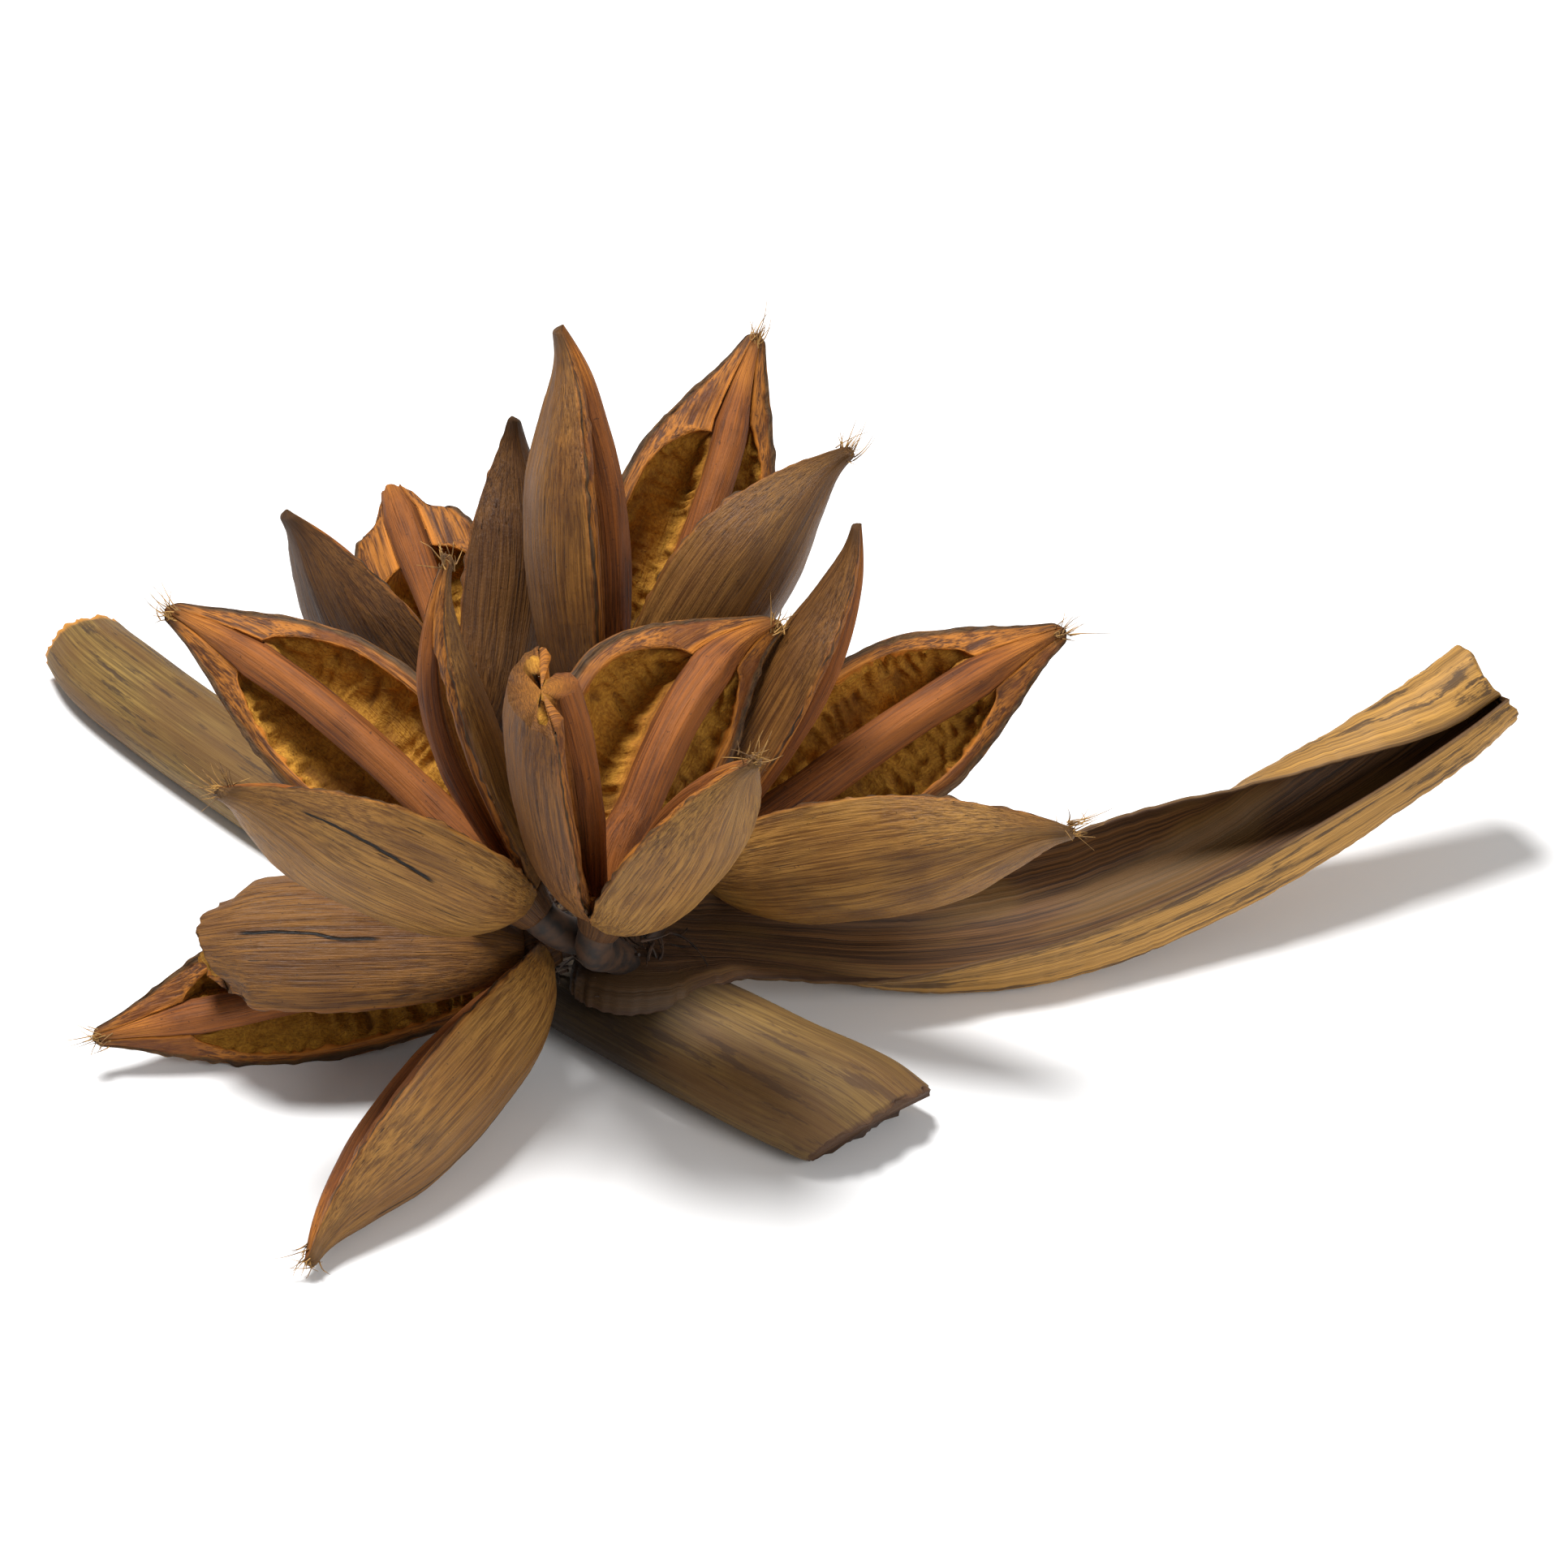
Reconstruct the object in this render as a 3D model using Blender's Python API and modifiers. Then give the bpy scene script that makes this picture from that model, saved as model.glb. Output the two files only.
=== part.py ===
# A dried seed-pod cluster of the traveller's palm, lying as picked up.
# It is a cut length of flower stalk with one boat-shaped bract, and six woody
# pods standing in the bract's axil. Each pod has split into three valves.
# Metres, +Z up. The origin is under the middle of the whole thing, on the table.

from math import cos, pi, radians, sin
from collections import namedtuple

import bmesh
import bpy
from mathutils import Matrix, Quaternion, Vector

MM = 0.001
GAP = 0.3 * MM  # clearance between pieces that touch in the real cluster

# Sizes of a full-grown valve. Lengths are in metres, shares are of the valve's length or radius.
POD_RADIUS = 22 * MM  # from the pod's axis to its outer wall, at the widest place
WALL_ANGLE = radians(62)  # a valve is a third of the pod, and springs open a little wider
WALL = 4.0 * MM  # woody wall at the split rim
FLOOR_WALL = 2.6 * MM  # wall under the seed chamber
SEPTUM_TOP = 4.4 * MM  # half the width of the partition along its free edge
SEPTUM_ROOT = 2.6 * MM  # half its width where it leaves the wall
SEPTUM_DROP = 0.02  # free edge of the partition below the pod's axis, as a share of the radius
SEPTUM_ROUND = 0.35  # how far its two corners lie below its middle, as a share of SEPTUM_TOP
WALL_SHARE = 0.35  # a wall takes no more than this share of a narrow slice
SEPTUM_TOP_SHARE = 0.30  # nor the partition's edge more than this
SEPTUM_ROOT_SHARE = 0.18  # nor its root more than this
CHAMBER_CORNERS = (0.72, 0.44)  # where the chamber's floor turns up, as shares of WALL_ANGLE
CHAMBER_INNER = 0.97  # depth of the chamber beside the partition, as a share of its floor's
CHAMBER_OPENS = (0.07, 0.13)  # where a seed chamber starts and where it is fully open
CHAMBER_ARCH = 0.09  # over this share of the length it closes again towards the beak
VALVE_STATIONS = (0.0, 0.07, 0.14, 0.25, 0.37, 0.49, 0.60, 0.69, 0.735, 0.80, 0.90, 1.0)
OUTER_FACETS = 8
BEND = 2.6  # makes the bend share**3 - share one deep in the middle of a valve

# Outer radius along a valve, from the foot (0) to the beak (1), as shares of POD_RADIUS.
VALVE_OUTLINE = (
    (0.0, 0.36), (0.08, 0.63), (0.20, 0.87), (0.35, 0.98), (0.50, 1.0),
    (0.65, 0.89), (0.80, 0.58), (0.92, 0.27), (1.0, 0.11),
)

# A valve, in millimetres and degrees: the length of its chord, the compass heading and the rise of
# its beak, its turn about the chord, and the radius of its wall. "flare" draws the middle towards
# the pod's axis so that the beak turns out, "sway" bends it sideways, "end" is the share of its
# length that is left where the beak has broken off, and "shut" the share where its chambers are
# closed. A pod's own stalk starts at "root" in the cut stalk and its valves meet at "foot".
Valve = namedtuple("Valve", "length heading rise turn radius flare sway end shut", defaults=(0, 1.0, 0.78))
Pod = namedtuple("Pod", "root foot valves")
PODS = {
    "pod_top": Pod((-46, -2), (-38, 29, 52), (
        Valve(98, 116, 71, -15, 26, 9),
        Valve(102, 66, 40, 20, 23, 5),
        Valve(86, 21, 48, -30, 22, 9, -5),
    )),
    "pod_left": Pod((-42, -24), (-62, -44, 54), (
        Valve(112, 142, 18, -10, 23, 5, -5),
        Valve(92, -147, 38, 0, 22, 8),
        Valve(90, 168, 82, 25, 16.5, 13),
    )),
    "pod_centre": Pod((-37, -28), (-40, -50, 55), (
        Valve(80, 56, 29, 30, 26, 6, 12),
        Valve(107, -118, 73.6, -20, 20.5, 6, 0, 0.72),
        Valve(80, -46, 53, 25, 20, 7),
    )),
    "pod_right": Pod((-34, -18), (-17, -6, 35), (
        Valve(90, 34, 62, 10, 19, 10),
        Valve(106, 33, 16, 5, 24, 5, 3),
        Valve(101, -27, 23, -15, 22, 8),
    )),
    "pod_back": Pod((-58, 0), (-74, 38, 41), (
        Valve(82, -170, 58, -15, 22, 6),
        Valve(85, 112, 28, -10, 21, 5, 0, 0.88, 0.62),
        Valve(78, 79, 58, -55, 17, 9, 6),
    )),
    "pod_low": Pod((-40, -22), (-61, -34, 28.5), (
        Valve(103, -174.5, -10, 15, 21, 2),
        Valve(102, -176.7, 3.6, -85, 20.5, 6, 0, 0.76),
        Valve(98, -119, -14, -8, 24, 9),
    )),
}
FOOT_RADIUS = 7.5 * MM
FOOT_SIDES = 12
NECK_RADIUS = 5.0 * MM
FOOT_DEPTH = 8.0 * MM  # how far the pod's foot reaches below the point where its valves meet

# The stalk lies flat along the table from back left to front right. Each station is its middle
# on the table, half its width and its height, in millimetres.
STALK = (
    (-184, 130, 11.5, 16.0), (-170, 107, 13.0, 20.0), (-125, 57, 13.5, 20.0), (-52, -13, 16.5, 20.0),
    (-8, -50, 18.5, 20.0), (14, -66, 19.0, 19.0), (26, -74, 17.5, 14.0),
)
STALK_STATIONS = 16
STALK_SIDES = 16
FLATTENED = 1.25  # how far the round under the stalk would bulge below the flat it rests on
WIDEST = 0.42  # height at which the stalk is widest, as a share of its height
CUT_FROM = 0.66  # share of the stalk's length from which its right end turns into the oblique cut
CUT_ACROSS = 5.0 * MM  # how far the cut's far side stands out beyond its middle
CUT_UNDER = 10.0 * MM  # how far its underside is set back from its top
ROOT_HEIGHT = 14  # where the pods' own stalks start, inside the cut stalk
PEDICEL_RADIUS = 4.3 * MM
PEDICEL_RISE = 0.45  # a pod's stalk first rises by about this share of its reach
PEDICEL_LEAN = 0.4  # and runs along the pod's axis for this share of it
PEDICEL_STEPS = 5

# The bract is a gutter that leaves the stalk and rises to the right. Each station is its keel
# point, then the far wall's and the near wall's length in millimetres and how far each turns up
# in degrees, and how far the near margin turns back out.
BractStation = namedtuple("BractStation", "keel far far_turn near near_turn reflex")
BRACT = (
    BractStation((-48, -20, 22), 20, 60, 18, -10, 40),
    BractStation((-34, -22, 22), 22, 60, 26, 5, 55),
    BractStation((-10, -15, 14), 26, 50, 14, 40, 60),
    BractStation((30, -5, 2.6), 31, 80, 26, 75, 25),
    BractStation((66, 4, 1.6), 34, 90, 31, 92, 10),
    BractStation((102, 17, 9), 33, 105, 28, 95, 5),
    BractStation((135, 32, 20), 38, 175, 25, 95, 0),
    BractStation((161, 45, 31), 43, 225, 21, 95, 0),
    BractStation((177.1, 54, 39.5), 44, 240, 18, 95, 0),
)
WALK = (0.2, 0.8)  # shares of an open wall between which it turns up
ROLLED = (110, 200)  # turns in degrees at which a wall starts to roll and is a full roll
REFLEX_FROM = 0.55  # share of the near wall from which its margin turns back out
BRACT_THICKNESS = 2.0 * MM
BRACT_STATIONS = 22
BRACT_COLUMNS = 12  # grid cells across the gutter, margin to margin

MIDDLE = Vector((-6.3, 8.4, 0)) * MM  # middle of the cluster, in the layout that the tables above use
TABLE_CUT = Vector((500, 500, 60)) * MM  # the block that flattens what presses on the table

WOOD_OUTER = (0.24, 0.115, 0.045)
STALK_TAN = (0.27, 0.17, 0.06)
BRACT_GOLD = (0.33, 0.19, 0.06)


def clear_scene():
    for thing in list(bpy.data.objects):
        bpy.data.objects.remove(thing)


def collection(name):
    made = bpy.data.collections.new(name)
    bpy.context.scene.collection.children.link(made)
    return made


def dry_material(name, colour, roughness):
    made = bpy.data.materials.new(name)
    made.use_nodes = True
    shader = made.node_tree.nodes["Principled BSDF"]
    shader.inputs["Base Color"].default_value = (*colour, 1.0)
    shader.inputs["Roughness"].default_value = roughness
    shader.inputs["Metallic"].default_value = 0.0
    return made


def along(stations, share):
    """A smooth curve through (position, value) pairs, read at share."""
    last = len(stations) - 2
    i = next((k for k in range(last) if share <= stations[k + 1][0]), last)
    (x0, a), (x1, b) = stations[i], stations[i + 1]
    before = stations[max(i - 1, 0)]
    after = stations[min(i + 2, len(stations) - 1)]
    slope_a = (b - before[1]) / (x1 - before[0])
    slope_b = (after[1] - a) / (after[0] - x0)
    step = x1 - x0
    t = (share - x0) / step
    return (
        a * (2 * t**3 - 3 * t**2 + 1) + slope_a * step * (t**3 - 2 * t**2 + t)
        + b * (3 * t**2 - 2 * t**3) + slope_b * step * (t**3 - t**2)
    )


def even_stations(rows):
    """The rows as (share, value) lists, one for each column, spaced evenly."""
    last = len(rows) - 1
    return [[(i / last, row[c]) for i, row in enumerate(rows)] for c in range(len(rows[0]))]


def smoothstep(low, high, value):
    t = min(max((value - low) / (high - low), 0.0), 1.0)
    return t * t * (3 - 2 * t)


def polar(heading, rise):
    """The direction with a compass heading and a rise above the table, in degrees."""
    h, r = radians(heading), radians(rise)
    return Vector((cos(h) * cos(r), sin(h) * cos(r), sin(r)))


def object_from(name, mesh, material, group):
    made = bpy.data.objects.new(name, mesh)
    if material:
        made.data.materials.append(material)
    group.objects.link(made)
    return made


def loft(name, rings, group, material=None):
    """A closed skin through closed rings of points, with a face over each end."""
    bm = bmesh.new()
    made = [[bm.verts.new(point) for point in ring] for ring in rings]
    count = len(rings[0])
    for ring, following in zip(made, made[1:]):
        for i in range(count):
            j = (i + 1) % count
            bm.faces.new((ring[i], ring[j], following[j], following[i]))
    bm.faces.new(list(reversed(made[0])))
    bm.faces.new(made[-1])
    bmesh.ops.recalc_face_normals(bm, faces=bm.faces)
    mesh = bpy.data.meshes.new(name)
    bm.to_mesh(mesh)
    bm.free()
    mesh.shade_smooth()
    mesh.set_sharp_from_angle(angle=radians(40))
    return object_from(name, mesh, material, group)


def boolean(target, operation, other):
    """Applies one Boolean of target with an object or with every object of a collection."""
    made = target.modifiers.new(operation.lower(), "BOOLEAN")
    made.operation = operation
    made.solver = "EXACT"
    if isinstance(other, bpy.types.Collection):
        made.operand_type = "COLLECTION"
        made.collection = other
    else:
        made.object = other
    apply_modifiers(target)


def apply_modifiers(target):
    bpy.context.view_layer.update()
    evaluated = target.evaluated_get(bpy.context.evaluated_depsgraph_get())
    mesh = bpy.data.meshes.new_from_object(evaluated)
    target.modifiers.clear()
    old, target.data = target.data, mesh
    mesh.name = target.name
    bpy.data.meshes.remove(old)


def empty_out(group):
    for thing in list(group.objects):
        bpy.data.objects.remove(thing)


def valve_ring(share, radius, shut):
    """One slice of a valve: x across it, y outwards from the pod's axis.
    It runs along the outer wall, over one rim, through one seed chamber, over the partition
    and back through the other chamber. A chamber is filled where the valve is solid."""
    size = radius / POD_RADIUS
    outer = radius * along(VALVE_OUTLINE, share)
    wall = min(WALL * size, WALL_SHARE * outer)
    floor = outer - min(FLOOR_WALL * size, WALL_SHARE * outer)
    top = min(SEPTUM_TOP * size, SEPTUM_TOP_SHARE * outer)
    root = min(SEPTUM_ROOT * size, SEPTUM_ROOT_SHARE * outer)
    hollow = smoothstep(*CHAMBER_OPENS, share) * (1 - smoothstep(shut - CHAMBER_ARCH, shut, share))

    def on_arc(r, angle):
        return Vector((r * sin(angle), r * cos(angle)))

    points = [
        on_arc(outer, WALL_ANGLE * (2 * i / OUTER_FACETS - 1)) for i in range(OUTER_FACETS + 1)
    ]
    rim = on_arc(outer - wall, WALL_ANGLE)
    edge = Vector((top, SEPTUM_DROP * outer + SEPTUM_ROUND * top))
    ridge = Vector((0, SEPTUM_DROP * outer))
    chamber = [on_arc(floor, corner * WALL_ANGLE) for corner in CHAMBER_CORNERS]
    chamber.append(Vector((root, CHAMBER_INNER * floor)))
    inner = [rim]
    for i, deep in enumerate(chamber):
        face = rim.lerp(edge, (i + 1) / (len(chamber) + 1))
        inner.append(face.lerp(deep, hollow))
    inner.append(edge)
    return points + inner + [ridge] + [Vector((-p.x, p.y)) for p in reversed(inner)]


def valve_rings(foot, valve, axis):
    """The slices of one valve in place. Its chambers face the pod's axis."""
    chord = polar(valve.heading, valve.rise)
    outward = -(axis - chord * axis.dot(chord)).normalized()
    outward.rotate(Quaternion(chord, radians(valve.turn)))
    across = outward.cross(chord)
    rings = []
    for station in VALVE_STATIONS:
        share = station * valve.end
        bend = BEND * (share**3 - share) * MM
        centre = foot + chord * valve.length * MM * share
        centre += outward * valve.flare * bend + across * valve.sway * bend
        slice_points = valve_ring(share, valve.radius * MM, valve.shut)
        rings.append([centre + across * p.x + outward * p.y for p in slice_points])
    return rings


def pod_axis(pod):
    return sum((polar(v.heading, v.rise) for v in pod.valves), Vector()).normalized()


def turned_foot(name, foot, axis, group):
    """The solid end of a pod below its valves: a turned plug with a flat bottom."""
    profile = (
        (0.0, 0.55 * FOOT_RADIUS),
        (0.75 * FOOT_RADIUS, 0.3 * FOOT_RADIUS),
        (FOOT_RADIUS, -0.2 * FOOT_RADIUS),
        (0.5 * (FOOT_RADIUS + NECK_RADIUS), -0.55 * FOOT_DEPTH),
        (NECK_RADIUS, -FOOT_DEPTH),
        (0.0, -FOOT_DEPTH),
    )
    mesh = bpy.data.meshes.new(name)
    mesh.from_pydata([(r, 0, z) for r, z in profile], [(i, i + 1) for i in range(len(profile) - 1)], [])
    plug = object_from(name, mesh, None, group)
    plug.matrix_world = Matrix.Translation(foot) @ axis.to_track_quat("Z", "Y").to_matrix().to_4x4()
    screw = plug.modifiers.new("turn", "SCREW")
    screw.steps = screw.render_steps = FOOT_SIDES
    screw.use_merge_vertices = True
    screw.merge_threshold = 0.00001
    return plug


def make_pod(name, pod, material, group):
    """Three valves and the foot that they share, joined in one solid."""
    foot = Vector(pod.foot) * MM
    axis = pod_axis(pod)
    others = collection(name + "_pieces")
    first, *rest = [valve_rings(foot, valve, axis) for valve in pod.valves]
    made = loft(name, first, group, material)
    for i, rings in enumerate(rest):
        loft(f"{name}_valve_{i + 2}", rings, others)
    plug = turned_foot(name + "_foot", foot, axis, others)
    apply_modifiers(plug)
    boolean(made, "UNION", others)
    empty_out(others)
    return made


def stalk_rings(grow=0.0):
    """Slices of the stalk: flat below, domed above, with a low ridge along its top."""
    columns = even_stations(STALK)
    centres = []
    for i in range(STALK_STATIONS):
        share = i / (STALK_STATIONS - 1)
        centres.append([along(column, share) * MM for column in columns])
    rings = []
    for i, (x, y, half, height) in enumerate(centres):
        before, after = centres[max(i - 1, 0)], centres[min(i + 1, STALK_STATIONS - 1)]
        run = Vector((after[0] - before[0], after[1] - before[1], 0)).normalized()
        side = Vector((-run.y, run.x, 0))
        oblique = smoothstep(CUT_FROM, 1.0, i / (STALK_STATIONS - 1))
        ring = []
        for k in range(STALK_SIDES):
            turn = 2 * pi * k / STALK_SIDES
            reach = (half + grow) * cos(turn)
            low = WIDEST * height
            if sin(turn) > 0:
                z = low + (height - low + grow) * sin(turn)
            else:
                z = low * max(1 + FLATTENED * sin(turn), 0.0) - grow
            lead = oblique * (CUT_ACROSS * cos(turn) + CUT_UNDER * (z / height - 1))
            ring.append(Vector((x, y, z)) + side * reach + run * lead)
        rings.append(ring)
    return rings


def pedicel_points(pod, grow):
    """The line of a pod's own stalk, from inside the cut stalk to just under the pod's foot."""
    axis = pod_axis(pod)
    root = Vector((*pod.root, ROOT_HEIGHT)) * MM
    top = Vector(pod.foot) * MM - axis * (FOOT_DEPTH + GAP - grow)
    end = top - axis * 0.5 * PEDICEL_RADIUS
    reach = (end - root).length
    leave = root + Vector((0, 0, PEDICEL_RISE * reach))
    arrive = end - axis * PEDICEL_LEAN * reach
    points = []
    for i in range(PEDICEL_STEPS + 1):
        t = i / PEDICEL_STEPS
        points.append(
            root * (1 - t) ** 3 + leave * 3 * t * (1 - t) ** 2 + arrive * 3 * t**2 * (1 - t) + end * t**3
        )
    return points + [top]


def tube(name, points, radius, group):
    curve = bpy.data.curves.new(name, "CURVE")
    curve.dimensions = "3D"
    curve.bevel_depth = radius
    curve.bevel_resolution = 2
    curve.use_fill_caps = True
    spline = curve.splines.new("POLY")
    spline.points.add(len(points) - 1)
    for point, place in zip(spline.points, points):
        point.co = (*place, 1.0)
    line = bpy.data.objects.new(name, curve)
    group.objects.link(line)
    bpy.context.view_layer.update()
    mesh = bpy.data.meshes.new_from_object(line.evaluated_get(bpy.context.evaluated_depsgraph_get()))
    bm = bmesh.new()
    bm.from_mesh(mesh)
    bmesh.ops.remove_doubles(bm, verts=bm.verts, dist=0.00001)
    bmesh.ops.recalc_face_normals(bm, faces=bm.faces)
    bm.to_mesh(mesh)
    bm.free()
    made = object_from(name + "_mesh", mesh, None, group)
    made.matrix_world = line.matrix_world
    bpy.data.objects.remove(line)
    return made


def make_stalk(name, grow, material, group):
    """The cut stalk with the six short stalks that carry the pods, in one solid."""
    made = loft(name, stalk_rings(grow), group, material)
    branches = collection(name + "_branches")
    for pod_name, pod in PODS.items():
        tube(name + "_" + pod_name, pedicel_points(pod, grow), PEDICEL_RADIUS + grow, branches)
    boolean(made, "UNION", branches)
    empty_out(branches)
    return made


def bract_section(station, run):
    """Points across the gutter, far margin to near margin, at one station of the keel.
    The walls are drawn by walking out from the keel and turning up a little at each step."""
    side = Vector((run.y, -run.x, 0)).normalized()
    up = side.cross(run).normalized()
    if up.z < 0:
        up = -up
    half = BRACT_COLUMNS // 2
    keel = Vector(station.keel) * MM
    walls = []
    for length, turn, reflex, way in (
        (station.far, station.far_turn, 0.0, -1), (station.near, station.near_turn, station.reflex, 1),
    ):
        step = length * MM / half
        rolled = smoothstep(*ROLLED, turn)
        turn_from, turn_to = WALK[0] * (1 - rolled), WALK[1] + (1 - WALK[1]) * rolled
        place, wall = keel, []
        for k in range(half):
            q = (k + 0.5) / half
            back = reflex * smoothstep(REFLEX_FROM, 1.0, q)
            angle = radians(turn * smoothstep(turn_from, turn_to, q) - back)
            place = place + side * way * step * cos(angle) + up * step * sin(angle)
            wall.append(place)
        walls.append(wall)
    return list(reversed(walls[0])) + [keel] + walls[1]


def bract_grid(stations):
    rows = [(*s.keel, *s[1:]) for s in BRACT]
    columns = even_stations(rows)
    made = []
    for i in range(stations):
        values = [along(column, i / (stations - 1)) for column in columns]
        made.append(BractStation(tuple(values[:3]), *values[3:]))
    grid = []
    for i, station in enumerate(made):
        before, after = made[max(i - 1, 0)], made[min(i + 1, stations - 1)]
        run = (Vector(after.keel) - Vector(before.keel)).normalized()
        grid.append(bract_section(station, run))
    return grid


def make_bract(material, group):
    grid = bract_grid(BRACT_STATIONS)
    bm = bmesh.new()
    made = [[bm.verts.new(point) for point in row] for row in grid]
    for row, following in zip(made, made[1:]):
        for i in range(len(row) - 1):
            bm.faces.new((row[i], row[i + 1], following[i + 1], following[i]))
    mesh = bpy.data.meshes.new("bract")
    bm.to_mesh(mesh)
    bm.free()
    bract = object_from("bract", mesh, material, group)
    skin = bract.modifiers.new("thickness", "SOLIDIFY")
    skin.thickness = BRACT_THICKNESS
    skin.offset = 0.0
    skin.use_even_offset = True
    apply_modifiers(bract)
    return bract


def table_block(group):
    bpy.ops.mesh.primitive_cube_add(size=1.0)
    block = bpy.context.object
    block.name = "table_cut"
    block.scale = TABLE_CUT
    block.location = (0, 0, -TABLE_CUT.z / 2)
    for owner in list(block.users_collection):
        owner.objects.unlink(block)
    group.objects.link(block)
    hide(block)
    return block


def hide(cutter):
    cutter.hide_render = True
    cutter.display_type = "WIRE"


def centre(group):
    """Moves every piece so that the origin is under the middle of the whole cluster."""
    for thing in group.objects:
        thing.data.transform(Matrix.Translation(-MIDDLE))


def main():
    clear_scene()
    cluster = collection("star_pod_cluster")
    cutters = collection("cutters")
    pod_wood = dry_material("pod_wood", WOOD_OUTER, 0.6)
    stalk_skin = dry_material("stalk_skin", STALK_TAN, 0.65)
    bract_skin = dry_material("bract_skin", BRACT_GOLD, 0.65)

    table = table_block(cutters)
    stalk = make_stalk("stalk", 0.0, stalk_skin, cluster)
    clearance = make_stalk("stalk_clearance", GAP, None, cutters)
    hide(clearance)
    bract = make_bract(bract_skin, cluster)
    boolean(bract, "DIFFERENCE", clearance)
    boolean(bract, "DIFFERENCE", table)
    for name, pod in PODS.items():
        made = make_pod(name, pod, pod_wood, cluster)
        if min((made.matrix_world @ v.co).z for v in made.data.vertices) < 0:
            boolean(made, "DIFFERENCE", table)
    centre(cluster)


main()
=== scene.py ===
# %% [markdown]
# # A dried star pod from the traveller's palm
# The real object is a cut length of flower stalk, one boat-shaped bract and six woody capsules.
# Every capsule has split into three valves, and each valve shows two seed chambers with a
# partition between them. The solids give the sizes. This lesson rebuilds each grown piece as
# a fine mesh by the same rules, so that the wrinkles, fibres and torn edges have real relief.

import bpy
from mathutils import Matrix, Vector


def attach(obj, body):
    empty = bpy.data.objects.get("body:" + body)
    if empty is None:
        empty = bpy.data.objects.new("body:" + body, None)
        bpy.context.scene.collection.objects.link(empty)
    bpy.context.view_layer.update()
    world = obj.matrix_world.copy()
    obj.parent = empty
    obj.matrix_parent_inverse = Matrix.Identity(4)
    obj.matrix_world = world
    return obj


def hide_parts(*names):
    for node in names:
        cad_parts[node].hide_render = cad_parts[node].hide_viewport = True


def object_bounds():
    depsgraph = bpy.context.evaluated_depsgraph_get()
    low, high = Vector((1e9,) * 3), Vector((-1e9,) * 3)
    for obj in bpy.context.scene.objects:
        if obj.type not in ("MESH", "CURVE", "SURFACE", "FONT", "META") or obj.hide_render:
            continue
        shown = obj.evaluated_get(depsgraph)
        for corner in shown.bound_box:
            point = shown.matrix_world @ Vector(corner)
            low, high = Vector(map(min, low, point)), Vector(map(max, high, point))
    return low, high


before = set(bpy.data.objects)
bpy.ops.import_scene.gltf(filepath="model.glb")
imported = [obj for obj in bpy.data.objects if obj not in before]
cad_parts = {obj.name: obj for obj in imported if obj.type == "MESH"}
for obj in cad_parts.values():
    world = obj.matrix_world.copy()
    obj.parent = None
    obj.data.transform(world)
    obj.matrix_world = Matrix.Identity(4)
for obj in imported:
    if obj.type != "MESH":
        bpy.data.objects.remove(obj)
solids_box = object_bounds()
print("solids reach from", *[tuple(round(c * 1000, 1) for c in corner) for corner in solids_box])

# %% Tools
from collections import namedtuple
from math import cos, pi, radians, sin

import bmesh
import bpy
import numpy as np
from mathutils import Quaternion, Vector

MM = 0.001
SEED = 7
MIDDLE = np.array((-6.3, 8.4, 0.0))  # middle of the cluster in the layout below, in millimetres

# %% [markdown]
# ## How the cluster is laid out
# A valve is placed by the direction in which its beak points. The numbers are millimetres and
# degrees: the chord's length, its compass heading and rise, the turn about it, the radius, two
# bends, the share of the length that is left where a beak has broken off, and the share where
# the chambers are closed. The solids use the same numbers, so a fine valve falls on its plain one.

# %% The valves, the stalk and the bract in numbers
Valve = namedtuple("Valve", "length heading rise turn radius flare sway end shut", defaults=(0, 1.0, 0.78))
Pod = namedtuple("Pod", "root foot valves")
PODS = {
    "pod_top": Pod((-46, -2), (-38, 29, 52), (
        Valve(98, 116, 71, -15, 26, 9),
        Valve(102, 66, 40, 20, 23, 5),
        Valve(86, 21, 48, -30, 22, 9, -5),
    )),
    "pod_left": Pod((-42, -24), (-62, -44, 54), (
        Valve(112, 142, 18, -10, 23, 5, -5),
        Valve(92, -147, 38, 0, 22, 8),
        Valve(90, 168, 82, 25, 16.5, 13),
    )),
    "pod_centre": Pod((-37, -28), (-40, -50, 55), (
        Valve(80, 56, 29, 30, 26, 6, 12),
        Valve(107, -118, 73.6, -20, 20.5, 6, 0, 0.72),
        Valve(80, -46, 53, 25, 20, 7),
    )),
    "pod_right": Pod((-34, -18), (-17, -6, 35), (
        Valve(90, 34, 62, 10, 19, 10),
        Valve(106, 33, 16, 5, 24, 5, 3),
        Valve(101, -27, 23, -15, 22, 8),
    )),
    "pod_back": Pod((-58, 0), (-74, 38, 41), (
        Valve(82, -170, 58, -15, 22, 6),
        Valve(85, 112, 28, -10, 21, 5, 0, 0.88, 0.62),
        Valve(78, 79, 58, -55, 17, 9, 6),
    )),
    "pod_low": Pod((-40, -22), (-61, -34, 28.5), (
        Valve(103, -174.5, -10, 15, 21, 2),
        Valve(102, -176.7, 3.6, -85, 20.5, 6, 0, 0.76),
        Valve(98, -119, -14, -8, 24, 9),
    )),
}
POD_RADIUS = 22.0
WALL_ANGLE = radians(62)
WALL = 4.0
FLOOR_WALL = 2.6
SEPTUM_TOP = 4.4
SEPTUM_ROOT = 2.6
SEPTUM_DROP = 0.02
BEND = 2.6
WALL_SHARE = 0.35  # the most that a wall, the partition's top and its root take of the radius
SEPTUM_TOP_SHARE = 0.30
SEPTUM_ROOT_SHARE = 0.18
CHAMBER_OPENS = (0.06, 0.14)
CHAMBER_ARCH = 0.155  # share of the length over which a chamber closes in an arch
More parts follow.
